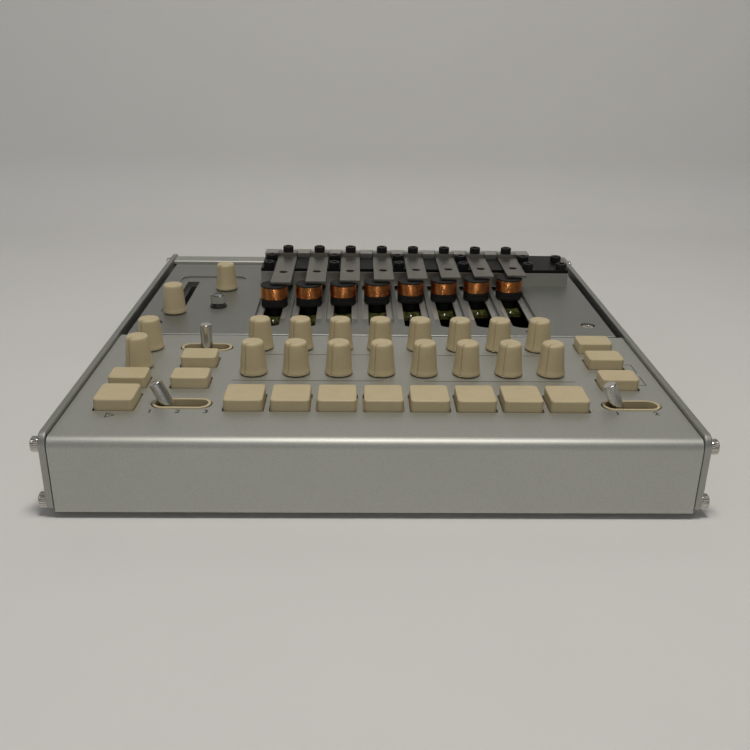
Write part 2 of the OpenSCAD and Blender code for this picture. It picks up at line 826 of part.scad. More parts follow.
module bridge_screws() {
  color(black) centred() {
    at_bar_screws() cap_screw(bar_screw_l);
    at_clamp_screws() cap_screw(clamp_screw_l);
  }
}

module resonators() {
  color(steel) centred() for (k = [1:voices]) difference() {
    slab(
      strip_x(k) - strip_w / 2, strip_x(k) + strip_w / 2, strip_y0(k), strip_y1,
      bar_top, bar_top + strip_t
    );
    pillar(strip_x(k), strip_hole_y(k), bar_top - eps, bar_top + strip_t + eps, strip_hole);
    pillar(strip_x(k), clamp_y, bar_top - eps, bar_top + strip_t + eps, screw_d + 2 * hole_play);
  }
}

module coil_bobbins() {
  color(black) centred() for (k = [1:voices]) {
    pillar(coil_x(k), coil_y(k), winding_z1, coil_top, coil_flange_d);
    pillar(coil_x(k), coil_y(k), winding_z0 - eps, winding_z1 + eps, spool_d);
    pillar(coil_x(k), coil_y(k), ledge_z, winding_z0, coil_body_d);
    pillar(coil_x(k), coil_y(k), magnet_board_top, ledge_z + eps, stem_d);
  }
}

// Helix of the outer layer: the middle of the wire, with a straight lead at each end
function wire_point(i) = [
  wire_r * cos(360 * i / loop_points),
  wire_r * sin(360 * i / loop_points),
  wire_d + wire_pitch * i / loop_points
];
wire_steps = wire_loops * loop_points;
wire_first = wire_point(0) - wire_d * [0, 1, 0];
wire_last = wire_point(wire_steps) + wire_d * [0, 1, 0];
wire_path = concat([wire_first], [for (i = [0:wire_steps]) wire_point(i)], [wire_last]);
wire_turns = concat([0], [for (i = [0:wire_steps]) i], [wire_steps]);

// Gap between neighbouring loops, measured on the path
least_gap = min([
  for (i = [0:wire_steps - loop_points], j = [i + loop_points / 2:wire_steps])
    norm(wire_point(i) - wire_point(j))
]) - wire_d;
echo(str("Least gap between the loops of a winding: ", least_gap, " mm"));

module wire_tube() {
  sides = 6;
  rings = len(wire_path);
  points = [
    for (i = [0:rings - 1], s = [0:sides - 1])
      let (turn = 360 * wire_turns[i] / loop_points, out = wire_d / 2 * cos(60 * s))
      wire_path[i] + [out * cos(turn), out * sin(turn), wire_d / 2 * sin(60 * s)]
  ];
  skin = [
    for (i = [0:rings - 2], s = [0:sides - 1])
      let (a = i * sides + s, b = i * sides + (s + 1) % sides)
      each [[a, b, a + sides], [b, b + sides, a + sides]]
  ];
  last = (rings - 1) * sides;
  first_cap = [for (s = [1:sides - 2]) [0, s + 1, s]];
  last_cap = [for (s = [1:sides - 2]) [last, last + s, last + s + 1]];
  polyhedron(points, concat(skin, first_cap, last_cap));
}

module coil_windings() {
  color(copper) centred() for (k = [1:voices]) translate([coil_x(k), coil_y(k), winding_z0]) {
    difference() {
      cylinder(d = winding_core_d, h = winding_h);
      translate([0, 0, -eps]) cylinder(d = spool_d + 2 * core_play, h = winding_h + 2 * eps);
    }
    wire_tube();
  }
}

board_side_gap = 3.7;
board_front_gap = 2;
board_back_gap = 6.3;
board_x = panel_w / 2 - board_side_gap;
board_front = 2 * bend_r + board_front_gap;
board_back = panel_d - board_back_gap;
post_inset = 5;
post_gap = 1;
board_post_front = block_d + base_tuck + post_gap + post_d / 2;
board_posts = [
  for (s = [-1, 1], y = [board_post_front, board_back - post_inset]) [s * (board_x - post_inset), y]
];

module circuit_boards() {
  color(board_green) centred() {
    difference() {
      slab(-board_x, board_x, board_front, board_back, board_under, board_top);
      for (toggle = toggles) {
        centred_slab(
          toggle[1], toggle[2], housing_w + 2 * housing_fit, housing_d + 2 * housing_fit,
          board_under - eps, board_top + eps
        );
      }
    }
    for (k = [1:voices]) {
      slab(
        coil_x(k) - magnet_board_w / 2, coil_x(k) + magnet_board_w / 2, coil_y(k) - magnet_board_lead,
        coil_y(k) + magnet_board_tail, magnet_board_top - board_t, magnet_board_top
      );
    }
  }
}

// Rotary potentiometer with the top of its body at z and its bushing above
module rotary_pot(x, y, z, bushing_h) {
  difference() {
    union() {
      slab(x - pot_w / 2, x + pot_w / 2, y - pot_d / 2, y + pot_d / 2, z - pot_h, z);
      pillar(x, y, z - eps, z + bushing_h, bushing_d);
    }
    pillar(x, y, z - pot_bore, z + bushing_h + eps, shaft_d + 2 * shaft_play);
  }
}

// Slide potentiometer: a channel for the tongue under the deck
module slide_pot() {
  difference() {
    slab(
      slider_x - fader_w / 2, slider_x + fader_w / 2, slider_slot_y0 - fader_margin,
      slider_slot_y1 + fader_margin, deck_under - fader_h, deck_under
    );
    slab(
      slider_x - fader_channel_w / 2, slider_x + fader_channel_w / 2, slider_slot_y0, slider_slot_y1,
      deck_under - tongue_dip - bore_floor, deck_under + eps
    );
  }
}

module potentiometers() {
  color(dark_grey) centred() {
    for (knob = panel_knobs) rotary_pot(knob[1], knob[2], pot_top, pot_gap + sheet_t - bushing_gap);
    rotary_pot(volume_x, volume_y, deck_under, pocket_floor - deck_under - bushing_gap);
    slide_pot();
  }
}

// Tactile switch with the bore that guides the button stem
module tact_switch(x, y) {
  difference() {
    centred_slab(x, y, switch_size, switch_size, board_top, board_top + switch_h);
    pillar(
      x, y, board_top + switch_h - stem_dip - button_travel - bore_floor, board_top + switch_h + eps,
      button_stem_d + 2 * stem_play
    );
  }
}

// Toggle switch body: it hangs through the control board on its flange, and holds the lever by its pin
module toggle_body(x, y) {
  difference() {
    union() {
      centred_slab(x, y, housing_w, housing_d, lever_slot_z - housing_wall, board_top + housing_h);
      centred_slab(
        x, y, housing_w + 2 * housing_flange, housing_d + 2 * housing_flange,
        board_top, board_top + housing_flange_t
      );
    }
    centred_slab(x, y, 2 * lever_half, lever_slot_d, lever_slot_z, board_top + housing_h + eps);
    translate([x, y, pivot_z]) rotate([90, 0, 0]) {
      cylinder(d = pivot_d + 2 * shaft_play, h = housing_d + 1, center = true);
    }
  }
}

module panel_switches() {
  color(black) centred() {
    for (button = buttons) tact_switch(button[1], button[2]);
    for (toggle = toggles) toggle_body(toggle[1], toggle[2]);
  }
}

module toggle_bezels() {
  color(cream) centred() for (toggle = toggles) difference() {
    union() {
      slot_x(toggle[1], toggle[2], bezel_w, bezel_d, panel_top, panel_top + bezel_h);
      slot_x(
        toggle[1], toggle[2], 2 * (slot_half + collar_t), lever_slot_d + 2 * collar_t,
        collar_z, panel_top + eps
      );
    }
    slot_x(
      toggle[1], toggle[2], 2 * slot_half, lever_slot_d, collar_z - eps, panel_top + bezel_h + eps
    );
  }
}

// Rear sockets: four jacks at the left and the power inlet at the right
jack_count = 4;
jack_x0 = -84;
inlet_x = 84;
inlet_bore = 5.6;
inlet_pin_d = 2;
sleeve_d = 8;
sleeve_out = 1.5;
socket_w = 10;
socket_l = 13;
jack_deep = 12;
inlet_deep = 9.5;
rear_shelf_t = 2.5;
rear_shelf_lap = 6;
socket_xs = concat([for (j = [0:jack_count - 1]) jack_x0 + j * jack_pitch], [inlet_x]);

module at_sockets() {
  for (x = socket_xs) translate([x, rear_face, base_top + jack_z]) children();
}

// Socket body inside the rear wall, its sleeve out through the wall, and a bore from behind
module socket(x, bore, deep) {
  translate([x, rear_face, base_top + jack_z]) difference() {
    union() {
      translate([0, -sheet_t - socket_l / 2, 0]) cube([socket_w, socket_l, socket_w], center = true);
      translate([0, sleeve_out, 0]) rotate([90, 0, 0])
        cylinder(d = sleeve_d, h = sleeve_out + sheet_t + eps);
    }
    translate([0, sleeve_out + eps, 0]) rotate([90, 0, 0]) cylinder(d = bore, h = deep + eps);
  }
}

module rear_sockets() {
  color(black) centred() {
    for (j = [0:jack_count - 1]) socket(jack_x0 + j * jack_pitch, jack_bore, jack_deep);
    socket(inlet_x, inlet_bore, inlet_deep);
    translate([inlet_x, rear_face, base_top + jack_z]) rotate([90, 0, 0]) {
      cylinder(d = inlet_pin_d, h = inlet_deep - sleeve_out + eps);
    }
  }
}

module light_guide() {
  color(clear) centred() {
    pillar(guide_x, guide_y, pocket_floor, pocket_floor + guide_h, guide_d);
    pillar(guide_x, guide_y, deck_under, pocket_floor + eps, guide_spigot_d);
  }
}

// Outline of a tapered cap: skirt, flare, taper and rounded top edge
module cap_profile(base_r, top_r, h) {
  skirt = 0.6;
  flare = 2.2;
  flare_in = 0.4;
  edge = 0.7;
  polygon(concat(
    [[0, 0], [base_r, 0], [base_r, skirt], [base_r - flare_in, flare]],
    [for (a = [0:15:90]) [top_r - edge + edge * cos(a), h - edge + edge * sin(a)]],
    [[0, h]]
  ));
}

// Knob on its shaft, with the pointer groove down its side and a tick on its top.
// The surface under the knob is at z, and its potentiometer body starts at pot_z.
module knob(x, y, z, pot_z) {
  groove_w = 0.7;
  groove_deep = 0.45;
  tick_l = 2.2;
  taper = atan((knob_base_d - knob_top_d) / 2 / knob_h);
  centred() {
    translate([x, y, z + knob_lift]) difference() {
      rotate_extrude() cap_profile(knob_base_d / 2, knob_top_d / 2, knob_h);
      translate([0, 0, -eps]) cylinder(d = shaft_d + 2 * shaft_play, h = knob_bore);
      rotate([0, 0, -pointer_angle]) {
        translate([0, -knob_base_d / 2, 0]) rotate([-taper, 0, 0])
          translate([-groove_w / 2, -groove_deep, -1]) cube([groove_w, 2 * groove_deep, knob_h + 2]);
        translate([-groove_w / 2, -knob_top_d / 2, knob_h - groove_deep]) cube([groove_w, tick_l, 1]);
      }
    }
    pillar(x, y, pot_z - shaft_dip, z + knob_lift + shaft_rise, shaft_d);
  }
}

module panel_knob(place) {
  color(cream) knob(place[1], place[2], panel_top, pot_top);
}

module volume_knob() {
  color(cream) knob(volume_x, volume_y, pocket_floor, deck_under);
}

// Slider cap at the front end of its slot, with the tongue that drives the slide potentiometer
module slider_cap() {
  cap_z = deck_top + knob_lift;
  color(cream) centred() {
    translate([slider_x, slider_y, cap_z]) rotate_extrude() {
      cap_profile(slider_base_d / 2, slider_top_d / 2, slider_h);
    }
    slab(
      slider_x - tongue_t / 2, slider_x + tongue_t / 2, slider_y - tongue_l / 2, slider_y + tongue_l / 2,
      deck_under - tongue_dip, cap_z + eps
    );
  }
}

// Button with the rim that keeps it under the panel and the stem that works its switch
module push_button(place) {
  rim_z1 = panel_under - seat_gap;
  rim_z0 = rim_z1 - button_rim_t;
  rim = 2 * (button_gap + button_rim);
  color(cream) centred() {
    rounded_slab(
      place[1], place[2], button_w, place[3], button_r, rim_z0, panel_top + button_rise
    );
    rounded_slab(
      place[1], place[2], button_w + rim, place[3] + rim, button_r, rim_z0, rim_z1
    );
    pillar(place[1], place[2], board_top + switch_h - stem_dip, rim_z0 + eps, button_stem_d);
  }
}

// Lever on its pivot ball and pin
module toggle_lever(place) {
  edge = 0.4;
  color(steel) centred() translate([place[1], place[2], pivot_z]) rotate([0, place[3], 0]) {
    sphere(d = lever_d);
    cylinder(d = lever_d, h = lever_l - edge);
    translate([0, 0, lever_l - edge - eps])
      cylinder(d1 = lever_d, d2 = lever_d - 2 * edge, h = edge + eps);
    rotate([90, 0, 0]) cylinder(d = pivot_d, h = housing_d - 2 * bore_floor, center = true);
  }
}

front_panel();
deck_panel();
rear_panel();
base_plate();
left_side_plate();
right_side_plate();
case_screws();
rubber_feet();
bridge_block();
bridge_bar();
clamp_rail();
clamp_plates();
bridge_screws();
resonators();
coil_bobbins();
coil_windings();
circuit_boards();
potentiometers();
panel_switches();
toggle_bezels();
rear_sockets();
light_guide();
volume_knob();
slider_cap();
for (place = panel_knobs) panel_knob(place);
for (place = buttons) push_button(place);
for (place = toggles) toggle_lever(place);
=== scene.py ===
import json
import math

import bmesh
import bpy
from mathutils import Matrix, Vector


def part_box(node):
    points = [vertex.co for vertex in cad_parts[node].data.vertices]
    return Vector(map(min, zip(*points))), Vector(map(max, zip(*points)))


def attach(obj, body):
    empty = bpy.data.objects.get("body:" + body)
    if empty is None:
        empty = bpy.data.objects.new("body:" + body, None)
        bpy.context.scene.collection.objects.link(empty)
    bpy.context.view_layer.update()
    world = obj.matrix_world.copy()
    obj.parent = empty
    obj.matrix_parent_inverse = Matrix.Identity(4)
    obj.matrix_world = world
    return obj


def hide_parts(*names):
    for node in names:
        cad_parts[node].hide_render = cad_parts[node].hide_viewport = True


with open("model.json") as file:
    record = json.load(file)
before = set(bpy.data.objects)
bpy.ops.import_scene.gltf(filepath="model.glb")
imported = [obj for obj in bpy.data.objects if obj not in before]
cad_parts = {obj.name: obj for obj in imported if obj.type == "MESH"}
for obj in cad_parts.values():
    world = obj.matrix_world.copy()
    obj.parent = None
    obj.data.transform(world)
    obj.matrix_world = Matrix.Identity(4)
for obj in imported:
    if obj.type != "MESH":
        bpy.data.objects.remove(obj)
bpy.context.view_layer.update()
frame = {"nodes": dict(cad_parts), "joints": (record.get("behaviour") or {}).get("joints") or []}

# Shapes are drawn in millimetres and scaled once, when a piece is finished.
MM = 0.001
CHASSIS = "chassis"
VOICES = 8


# Finishes


class Signal:
    """A socket of a finish. Arithmetic on it adds Math nodes."""

    def __init__(self, finish, socket):
        self.finish = finish
        self.socket = socket

    def _math(self, operation, first, second):
        return self.finish.node("ShaderNodeMath", {"operation": operation}, {0: first, 1: second})

    def __add__(self, other):
        return self._math("ADD", self, other)

    def __mul__(self, other):
        return self._math("MULTIPLY", self, other)

    def __rsub__(self, other):
        return self._math("SUBTRACT", other, self)

    __radd__ = __add__
    __rmul__ = __mul__


class Finish:
    """A procedural material, made node by node."""

    def __init__(self, name):
        self.material = bpy.data.materials.new(name)
        self.material.use_nodes = True
        self.tree = self.material.node_tree
        self.tree.nodes.clear()
        self.place = self.node("ShaderNodeTexCoord", out="Object")

    def node(self, kind, settings=None, sockets=None, out=0):
        made = self.tree.nodes.new(kind)
        for key, value in (settings or {}).items():
            if key == "stops":
                for stop, (position, colour) in zip(made.color_ramp.elements, value):
                    stop.position = position
                    stop.color = colour
            else:
                setattr(made, key, value)
        for key, value in (sockets or {}).items():
            if isinstance(value, Signal):
                self.tree.links.new(value.socket, made.inputs[key])
            else:
                made.inputs[key].default_value = value
        return Signal(self, made.outputs[out])

    def noise(self, size_mm, detail=2.0, stretch=(1, 1, 1)):
        """Noise with blots of about that size; stretch draws it out along an axis."""
        scale = tuple(1 / (size_mm * MM * s) for s in stretch)
        where = self.node("ShaderNodeMapping", {}, {"Vector": self.place, "Scale": scale})
        return self.node("ShaderNodeTexNoise", {}, {"Vector": where, "Scale": 1.0, "Detail": detail})

    def band(self, signal, low, high):
        """0 below low, 1 above high."""
        stops = [(low, (0, 0, 0, 1)), (high, (1, 1, 1, 1))]
        return self.node("ShaderNodeValToRGB", {"stops": stops}, {"Fac": signal})

    def tint(self, share, first, second):
        ends = {0: share, 6: (*first, 1) if isinstance(first, tuple) else first, 7: (*second, 1)}
        return self.node("ShaderNodeMix", {"data_type": "RGBA"}, ends, out=2)

    def along(self, axis):
        """Place along an axis, X Y or Z, in millimetres."""
        return 1 / MM * self.node("ShaderNodeSeparateXYZ", {}, {0: self.place}, out=axis)

    def above(self, signal, level):
        """1 above a level, 0 below."""
        return self.node("ShaderNodeMath", {"operation": "GREATER_THAN"}, {0: signal, 1: level})

    def bump(self, height, depth_mm, strength=1.0):
        return self.node(
            "ShaderNodeBump", {}, {"Height": height, "Distance": depth_mm * MM, "Strength": strength}
        )

    def surface(self, sockets):
        shader = self.node("ShaderNodeBsdfPrincipled", {}, sockets)
        self.node_output(shader)
        return self.material

    def node_output(self, shader):
        end = self.tree.nodes.new("ShaderNodeOutputMaterial")
        self.tree.links.new(shader.socket, end.inputs["Surface"])


def shade(colour, share):
    """A colour made darker or lighter by a share, up to white."""
    return tuple(min(1.0, share * c) for c in colour)


def blasted_metal(name, colour, roughness, grain_mm=0.35, ledge=None):
    """Metal blasted with fine grit: a pebbled surface, a faint speckle and slow clouds.

    A ledge of (lowest, highest, start) is milled brighter between two heights, from a depth on.
    """
    f = Finish(name)
    pebble = f.noise(grain_mm, 2.0)
    clouds = f.noise(40, 2.0)
    speckle = f.tint(f.band(pebble, 0.35, 0.65), shade(colour, 0.92), shade(colour, 1.07))
    base = f.tint(0.12 * clouds, speckle, shade(colour, 0.7))
    if ledge:
        lowest, highest, start = ledge
        height = f.along("Z")
        level = f.above(height, lowest) * (1.0 - f.above(height, highest))
        base = f.tint(level * f.above(f.along("Y"), start), base, shade(colour, 1.7))
    return f.surface({
        "Base Color": base,
        "Metallic": 1.0,
        "Roughness": roughness - 0.05 + 0.06 * pebble + 0.05 * clouds,
        "Normal": f.bump(pebble, 0.009),
    })


def moulded_plastic(name, colour, roughness, grain_mm=0.5):
    """Moulded plastic with a fine spark-eroded grain and handling marks."""
    f = Finish(name)
    grain = f.noise(grain_mm, 2.0)
    marks = f.noise(7, 3.0)
    return f.surface({
        "Base Color": f.tint(f.band(marks, 0.45, 0.75) * 0.5, colour, shade(colour, 0.88)),
        "Roughness": roughness - 0.06 + 0.08 * grain + 0.08 * marks,
        "Normal": f.bump(grain, 0.012, 0.5),
    })


def drawn_steel(name, colour, roughness, grain):
    """Rolled or turned steel with grain drawn out along one axis and a few faint stains."""
    f = Finish(name)
    lines = f.noise(0.25, 3.0, grain)
    stains = f.noise(6, 3.0)
    streaked = f.tint(f.band(lines, 0.3, 0.8), colour, shade(colour, 0.88))
    return f.surface({
        "Base Color": f.tint(f.band(stains, 0.55, 0.9) * 0.25, streaked, shade(colour, 0.7)),
        "Metallic": 1.0,
        "Roughness": roughness - 0.05 + 0.14 * lines + 0.08 * stains,
        "Normal": f.bump(lines, 0.01, 0.5),
    })


def black_oxide(name):
    """Blackened steel, worn paler in small spots."""
    f = Finish(name)
    worn = f.noise(0.8, 3.0)
    return f.surface({
        "Base Color": f.tint(f.band(worn, 0.6, 0.9) * 0.4, (0.012, 0.012, 0.013), (0.07, 0.066, 0.06)),
        "Metallic": 0.3,
        "Roughness": 0.42 + 0.15 * worn,
        "Normal": f.bump(worn, 0.01, 0.4),
    })


def enamelled_copper(name):
    """Copper wire under clear amber enamel."""
    f = Finish(name)
    mottle = f.noise(1.1, 2.0)
    return f.surface({
        "Base Color": f.tint(f.band(mottle, 0.3, 0.75), (0.72, 0.25, 0.06), (0.9, 0.4, 0.13)),
        "Metallic": 1.0,
        "Roughness": 0.2 + 0.1 * mottle,
        "Coat Weight": 0.3,
        "Coat Roughness": 0.12,
    })


def rubber(name):
    """Dull black rubber with a soft grain."""
    f = Finish(name)
    grain = f.noise(0.6, 3.0)
    return f.surface({
        "Base Color": f.tint(grain, (0.012, 0.012, 0.012), (0.03, 0.03, 0.029)),
        "Roughness": 0.75 + 0.15 * grain,
        "Normal": f.bump(grain, 0.02, 0.6),
    })


def board_lacquer(name):
    """Green lacquer over a copper pour: traces show as faint lighter bands."""
    f = Finish(name)
    traces = f.band(f.noise(1.6, 1.0, (1, 3, 1)), 0.48, 0.52)
    return f.surface({
        "Base Color": f.tint(traces, (0.04, 0.043, 0.011), (0.1, 0.105, 0.03)),
        "Roughness": 0.3 + 0.1 * traces,
        "Normal": f.bump(traces, 0.03, 0.6),
    })


def clear_plastic(name):
    """Clear plastic with a faint haze."""
    f = Finish(name)
    haze = f.noise(2.5, 2.0)
    return f.surface({
        "Base Color": f.tint(haze, (0.84, 0.86, 0.84), (0.94, 0.95, 0.94)),
        "Roughness": 0.06 + 0.08 * haze,
        "IOR": 1.49,
        "Transmission Weight": 1.0,
    })


def printed_ink(name):
    """Black ink with fine specks."""
    f = Finish(name)
    specks = f.noise(0.3, 2.0)
    return f.surface({
        "Base Color": f.tint(specks, (0.02, 0.02, 0.02), (0.06, 0.06, 0.057)),
        "Roughness": 0.5 + 0.2 * specks,
    })


PANEL_TOP = 30.2
LEDGE_Z = 27.7
LEDGE_FRONT = 13.7
PANEL_SILVER = blasted_metal("panel_silver", (0.55, 0.555, 0.52), 0.535)
DECK_LEDGE = (LEDGE_Z - 0.1, LEDGE_Z + 0.1, LEDGE_FRONT)
DECK_GREY = blasted_metal("deck_grey", (0.36, 0.365, 0.345), 0.5, 0.3, DECK_LEDGE)
PLATE_SILVER = blasted_metal("plate_silver", (0.42, 0.425, 0.4), 0.5)
BLOCK_LIGHT = blasted_metal("block_light", (0.5, 0.5, 0.465), 0.36, 0.3)
BAR_DARK = blasted_metal("bar_dark", (0.027, 0.0275, 0.028), 0.5, 0.3)
BASE_DARK = blasted_metal("base_dark", (0.05, 0.05, 0.052), 0.6)
CREAM = moulded_plastic("cream_plastic", (0.6, 0.5, 0.305), 0.42)
BOBBIN_BLACK = moulded_plastic("bobbin_black", (0.003, 0.003, 0.0032), 0.65)
SOCKET_BLACK = moulded_plastic("socket_black", (0.014, 0.014, 0.015), 0.5)
POT_GREY = moulded_plastic("pot_grey", (0.06, 0.06, 0.062), 0.5)
STRIP_STEEL = drawn_steel("strip_steel", (0.29, 0.278, 0.25), 0.28, (1, 40, 1))
LEVER_STEEL = drawn_steel("lever_steel", (0.66, 0.65, 0.62), 0.2, (1, 1, 60))
SCREW_STEEL = drawn_steel("screw_steel", (0.74, 0.71, 0.65), 0.18, (1, 12, 12))
SOLDER_TIN = drawn_steel("solder_tin", (0.8, 0.79, 0.76), 0.22, (1, 1, 1))
SCREW_BLACK = black_oxide("screw_black")
COPPER = enamelled_copper("winding_copper")
FOOT_RUBBER = rubber("rubber_black")
BOARD = board_lacquer("board_green")
CLEAR = clear_plastic("guide_clear")
INK = printed_ink("panel_ink")


# Shapes


def faces_from(bm, first):
    bm.faces.ensure_lookup_table()
    return bm.faces[first:]


def stamp(piece, shape, place=Matrix(), finish=0):
    """Copies a shape into a piece at a place, in the piece's finish of that number."""
    copy = bpy.data.meshes.new("shape")
    shape.to_mesh(copy)
    copy.transform(place)
    before = len(piece.faces)
    piece.from_mesh(copy)
    bpy.data.meshes.remove(copy)
    for face in faces_from(piece, before):
        face.material_index = finish


def weld(bm):
    bmesh.ops.remove_doubles(bm, verts=bm.verts, dist=0.0005)
    bmesh.ops.recalc_face_normals(bm, faces=bm.faces)


def finish_piece(name, bm, body, finishes, nodes=(), crease=35):
    """Makes a piece of a shape: welded, shaded, scaled to metres, and riding on its body."""
    weld(bm)
    for face in bm.faces:
        face.smooth = True
    for edge in bm.edges:
        edge.smooth = len(edge.link_faces) == 2 and edge.calc_face_angle() < math.radians(crease)
    bmesh.ops.scale(bm, vec=(MM, MM, MM), verts=bm.verts)
    mesh = bpy.data.meshes.new(name)
    bm.to_mesh(mesh)
    bm.free()
    for finish in finishes:
        mesh.materials.append(finish)
    piece = bpy.data.objects.new(name, mesh)
    bpy.context.scene.collection.objects.link(piece)
    piece.modifiers.new("even_shading", "WEIGHTED_NORMAL").keep_sharp = True
    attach(piece, body)
    if nodes:
        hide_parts(*nodes)
    return piece


def turned(profile, steps=48):
    """A profile of (radius, height) points spun round the upright axis."""
    bm = bmesh.new()
    points = [bm.verts.new((r, 0, z)) for r, z in profile]
    edges = [bm.edges.new(pair) for pair in zip(points, points[1:])]
    bmesh.ops.spin(
        bm, geom=points + edges, cent=(0, 0, 0), axis=(0, 0, 1), angle=math.tau, steps=steps, use_merge=True
    )
    weld(bm)
    return bm


def block(low, high):
    bm = bmesh.new()
    bmesh.ops.create_cube(bm, size=1)
    low, high = Vector(low), Vector(high)
    bmesh.ops.scale(bm, vec=high - low, verts=bm.verts)
    bmesh.ops.translate(bm, vec=(low + high) / 2, verts=bm.verts)
    return bm


def round_edges(bm, edges, radius, segments):
    """Fillets edges."""
    bmesh.ops.bevel(
        bm, geom=list(edges), offset=radius, offset_type="OFFSET", affect="EDGES",
        segments=segments, profile=0.5, material=-1, clamp_overlap=True,
    )


def points_of(geom):
    return [g for g in geom if isinstance(g, bmesh.types.BMVert)]


def raise_faces(bm, faces, height):
    """Draws flat faces up into a plate of that height."""
    raised = bmesh.ops.extrude_face_region(bm, geom=faces)["geom"]
    bmesh.ops.translate(bm, vec=(0, 0, height), verts=points_of(raised))


def edges_along(bm, axis):
    """Straight edges that run along an axis, 0 to 2."""
    found = []
    for edge in bm.edges:
        run = edge.verts[1].co - edge.verts[0].co
        if abs(run[axis]) > 0.999 * run.length:
            found.append(edge)
    return found


def rim(bm, axis, side):
    """Edges round the flat face that looks along an axis."""
    faces = [f for f in bm.faces if f.normal[axis] * side > 0.999]
    face = max(faces, key=lambda f: f.calc_area())
    return face.edges


def rounded_block(low, high, corner, top, segments=4, axis=2):
    """A block with round corners about an axis, and softened rims on both faces of that axis."""
    bm = block(low, high)
    round_edges(bm, edges_along(bm, axis), corner, 8)
    for side in (1, -1):
        bm.normal_update()
        round_edges(bm, rim(bm, axis, side), top, segments)
    return bm


def softened_block(low, high, radius=0.25):
    bm = block(low, high)
    round_edges(bm, bm.edges, radius, 2)
    return bm


def at(x, y, z=0.0):
    return Matrix.Translation((x, y, z))


def box_mm(node):
    """Lowest and highest corners of a node at rest, in millimetres."""
    low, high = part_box(node)
    return low / MM, high / MM


PIVOTS = {j["child"]: Vector(j.get("pos_m", (0, 0, 0))) / MM for j in frame["joints"]}
MIDDLES = {name: sum(box_mm(name), Vector()) / 2 for name in frame["nodes"]}


# Knobs

POINTER_ANGLE = math.radians(-122)
GROOVE_HALF = math.radians(4)
GROOVE_DEPTH = 0.38
KNOB_H = 12.8
KNOB_BASE_R = 5.5
KNOB_TOP_R = 4.3
SHAFT_R = 3.0
SHAFT_PLAY = 0.05
SHAFT_REACH = 7.1
BORE_DEPTH = 7.4
SLIDER_H = 13.3
SLIDER_BASE_R = 5.4
SLIDER_TOP_R = 4.35
SLIDER_BORE_R = 0.9
SLIDER_BORE_DEPTH = 4.0


def cap_profile(base_r, top_r, height, bore_r, bore):
    """Half section of a cap: blind bore below, flared skirt, taper, and a dished top inside a round edge."""
    return [
        (0, bore), (bore_r, bore), (bore_r, 0.25), (bore_r + 0.25, 0),
        (base_r - 0.45, 0), (base_r - 0.12, 0.12), (base_r, 0.45), (base_r - 0.05, 1.0),
        (base_r - 0.2, 1.7), (base_r - 0.38, 2.6),
        (top_r + 0.08, height - 1.3), (top_r - 0.02, height - 0.75), (top_r - 0.17, height - 0.36),
        (top_r - 0.42, height - 0.1), (top_r - 0.75, height), (top_r - 1.05, height - 0.03),
        (top_r - 1.5, height - 0.14), (2.1, height - 0.2), (0, height - 0.24),
    ]


def knob_shape():
    """Tapered cap with a flared skirt, a dished top, and a pointer groove up its side and over its edge."""
    bm = turned(cap_profile(KNOB_BASE_R, KNOB_TOP_R, KNOB_H, SHAFT_R + SHAFT_PLAY, BORE_DEPTH), 96)
    groove = []
    for face in bm.faces:
        middle = face.calc_center_median()
        outer = middle.xy.length > 3.4 or (middle.z > 12 and middle.xy.length > 2.1)
        if outer and middle.z > 0.1 and middle.x > 0 and abs(math.atan2(middle.y, middle.x)) < GROOVE_HALF:
            groove.append(face)
    bmesh.ops.inset_region(
        bm, faces=groove, thickness=0.05, depth=-GROOVE_DEPTH, use_even_offset=True, use_boundary=True
    )
    bmesh.ops.rotate(bm, cent=(0, 0, 0), matrix=Matrix.Rotation(POINTER_ANGLE, 3, "Z"), verts=bm.verts)
    return bm


def shaft_shape(low, high):
    """Round shaft with a chamfer at both ends."""
    return turned([
        (0, low), (SHAFT_R - 0.25, low), (SHAFT_R, low + 0.25),
        (SHAFT_R, high - 0.4), (SHAFT_R - 0.4, high), (0, high),
    ], 32)


KNOBS = [name for name in frame["nodes"] if name.endswith("_knob") or "_knob_" in name]
for name in KNOBS:
    low, high = box_mm(name)
    seat = high.z - KNOB_H
    bm = bmesh.new()
    place = PIVOTS[name]
    stamp(bm, knob_shape(), at(place.x, place.y, seat))
    stamp(bm, shaft_shape(low.z, seat + SHAFT_REACH), at(place.x, place.y), 1)
    finish_piece(name + "_cap", bm, name, [CREAM, LEVER_STEEL], [name], 40)

low, high = box_mm("slider_cap")
bm = bmesh.new()
middle = MIDDLES["slider_cap"]
slider = turned(cap_profile(SLIDER_BASE_R, SLIDER_TOP_R, SLIDER_H, SLIDER_BORE_R, SLIDER_BORE_DEPTH), 96)
stamp(bm, slider, at(middle.x, middle.y, high.z - SLIDER_H))
tongue = softened_block((-0.7, -2, low.z), (0.7, 2, high.z - 10), 0.15)
stamp(bm, tongue, at(middle.x, middle.y), 1)
finish_piece("slider_cap_top", bm, "slider_cap", [CREAM, SOCKET_BLACK], ["slider_cap"], 40)


# Buttons

BUTTONS = [name for name in frame["nodes"] if name.endswith("_button") or name.startswith("step_button")]
BUTTON_CORNER = 1.6
BUTTON_EDGE = 0.6
RIM_REACH = 1.05
RIM_TOP = 28.4
RIM_LOW = 27.4
RIM_EDGE = 0.12
STEM_R = 1.7

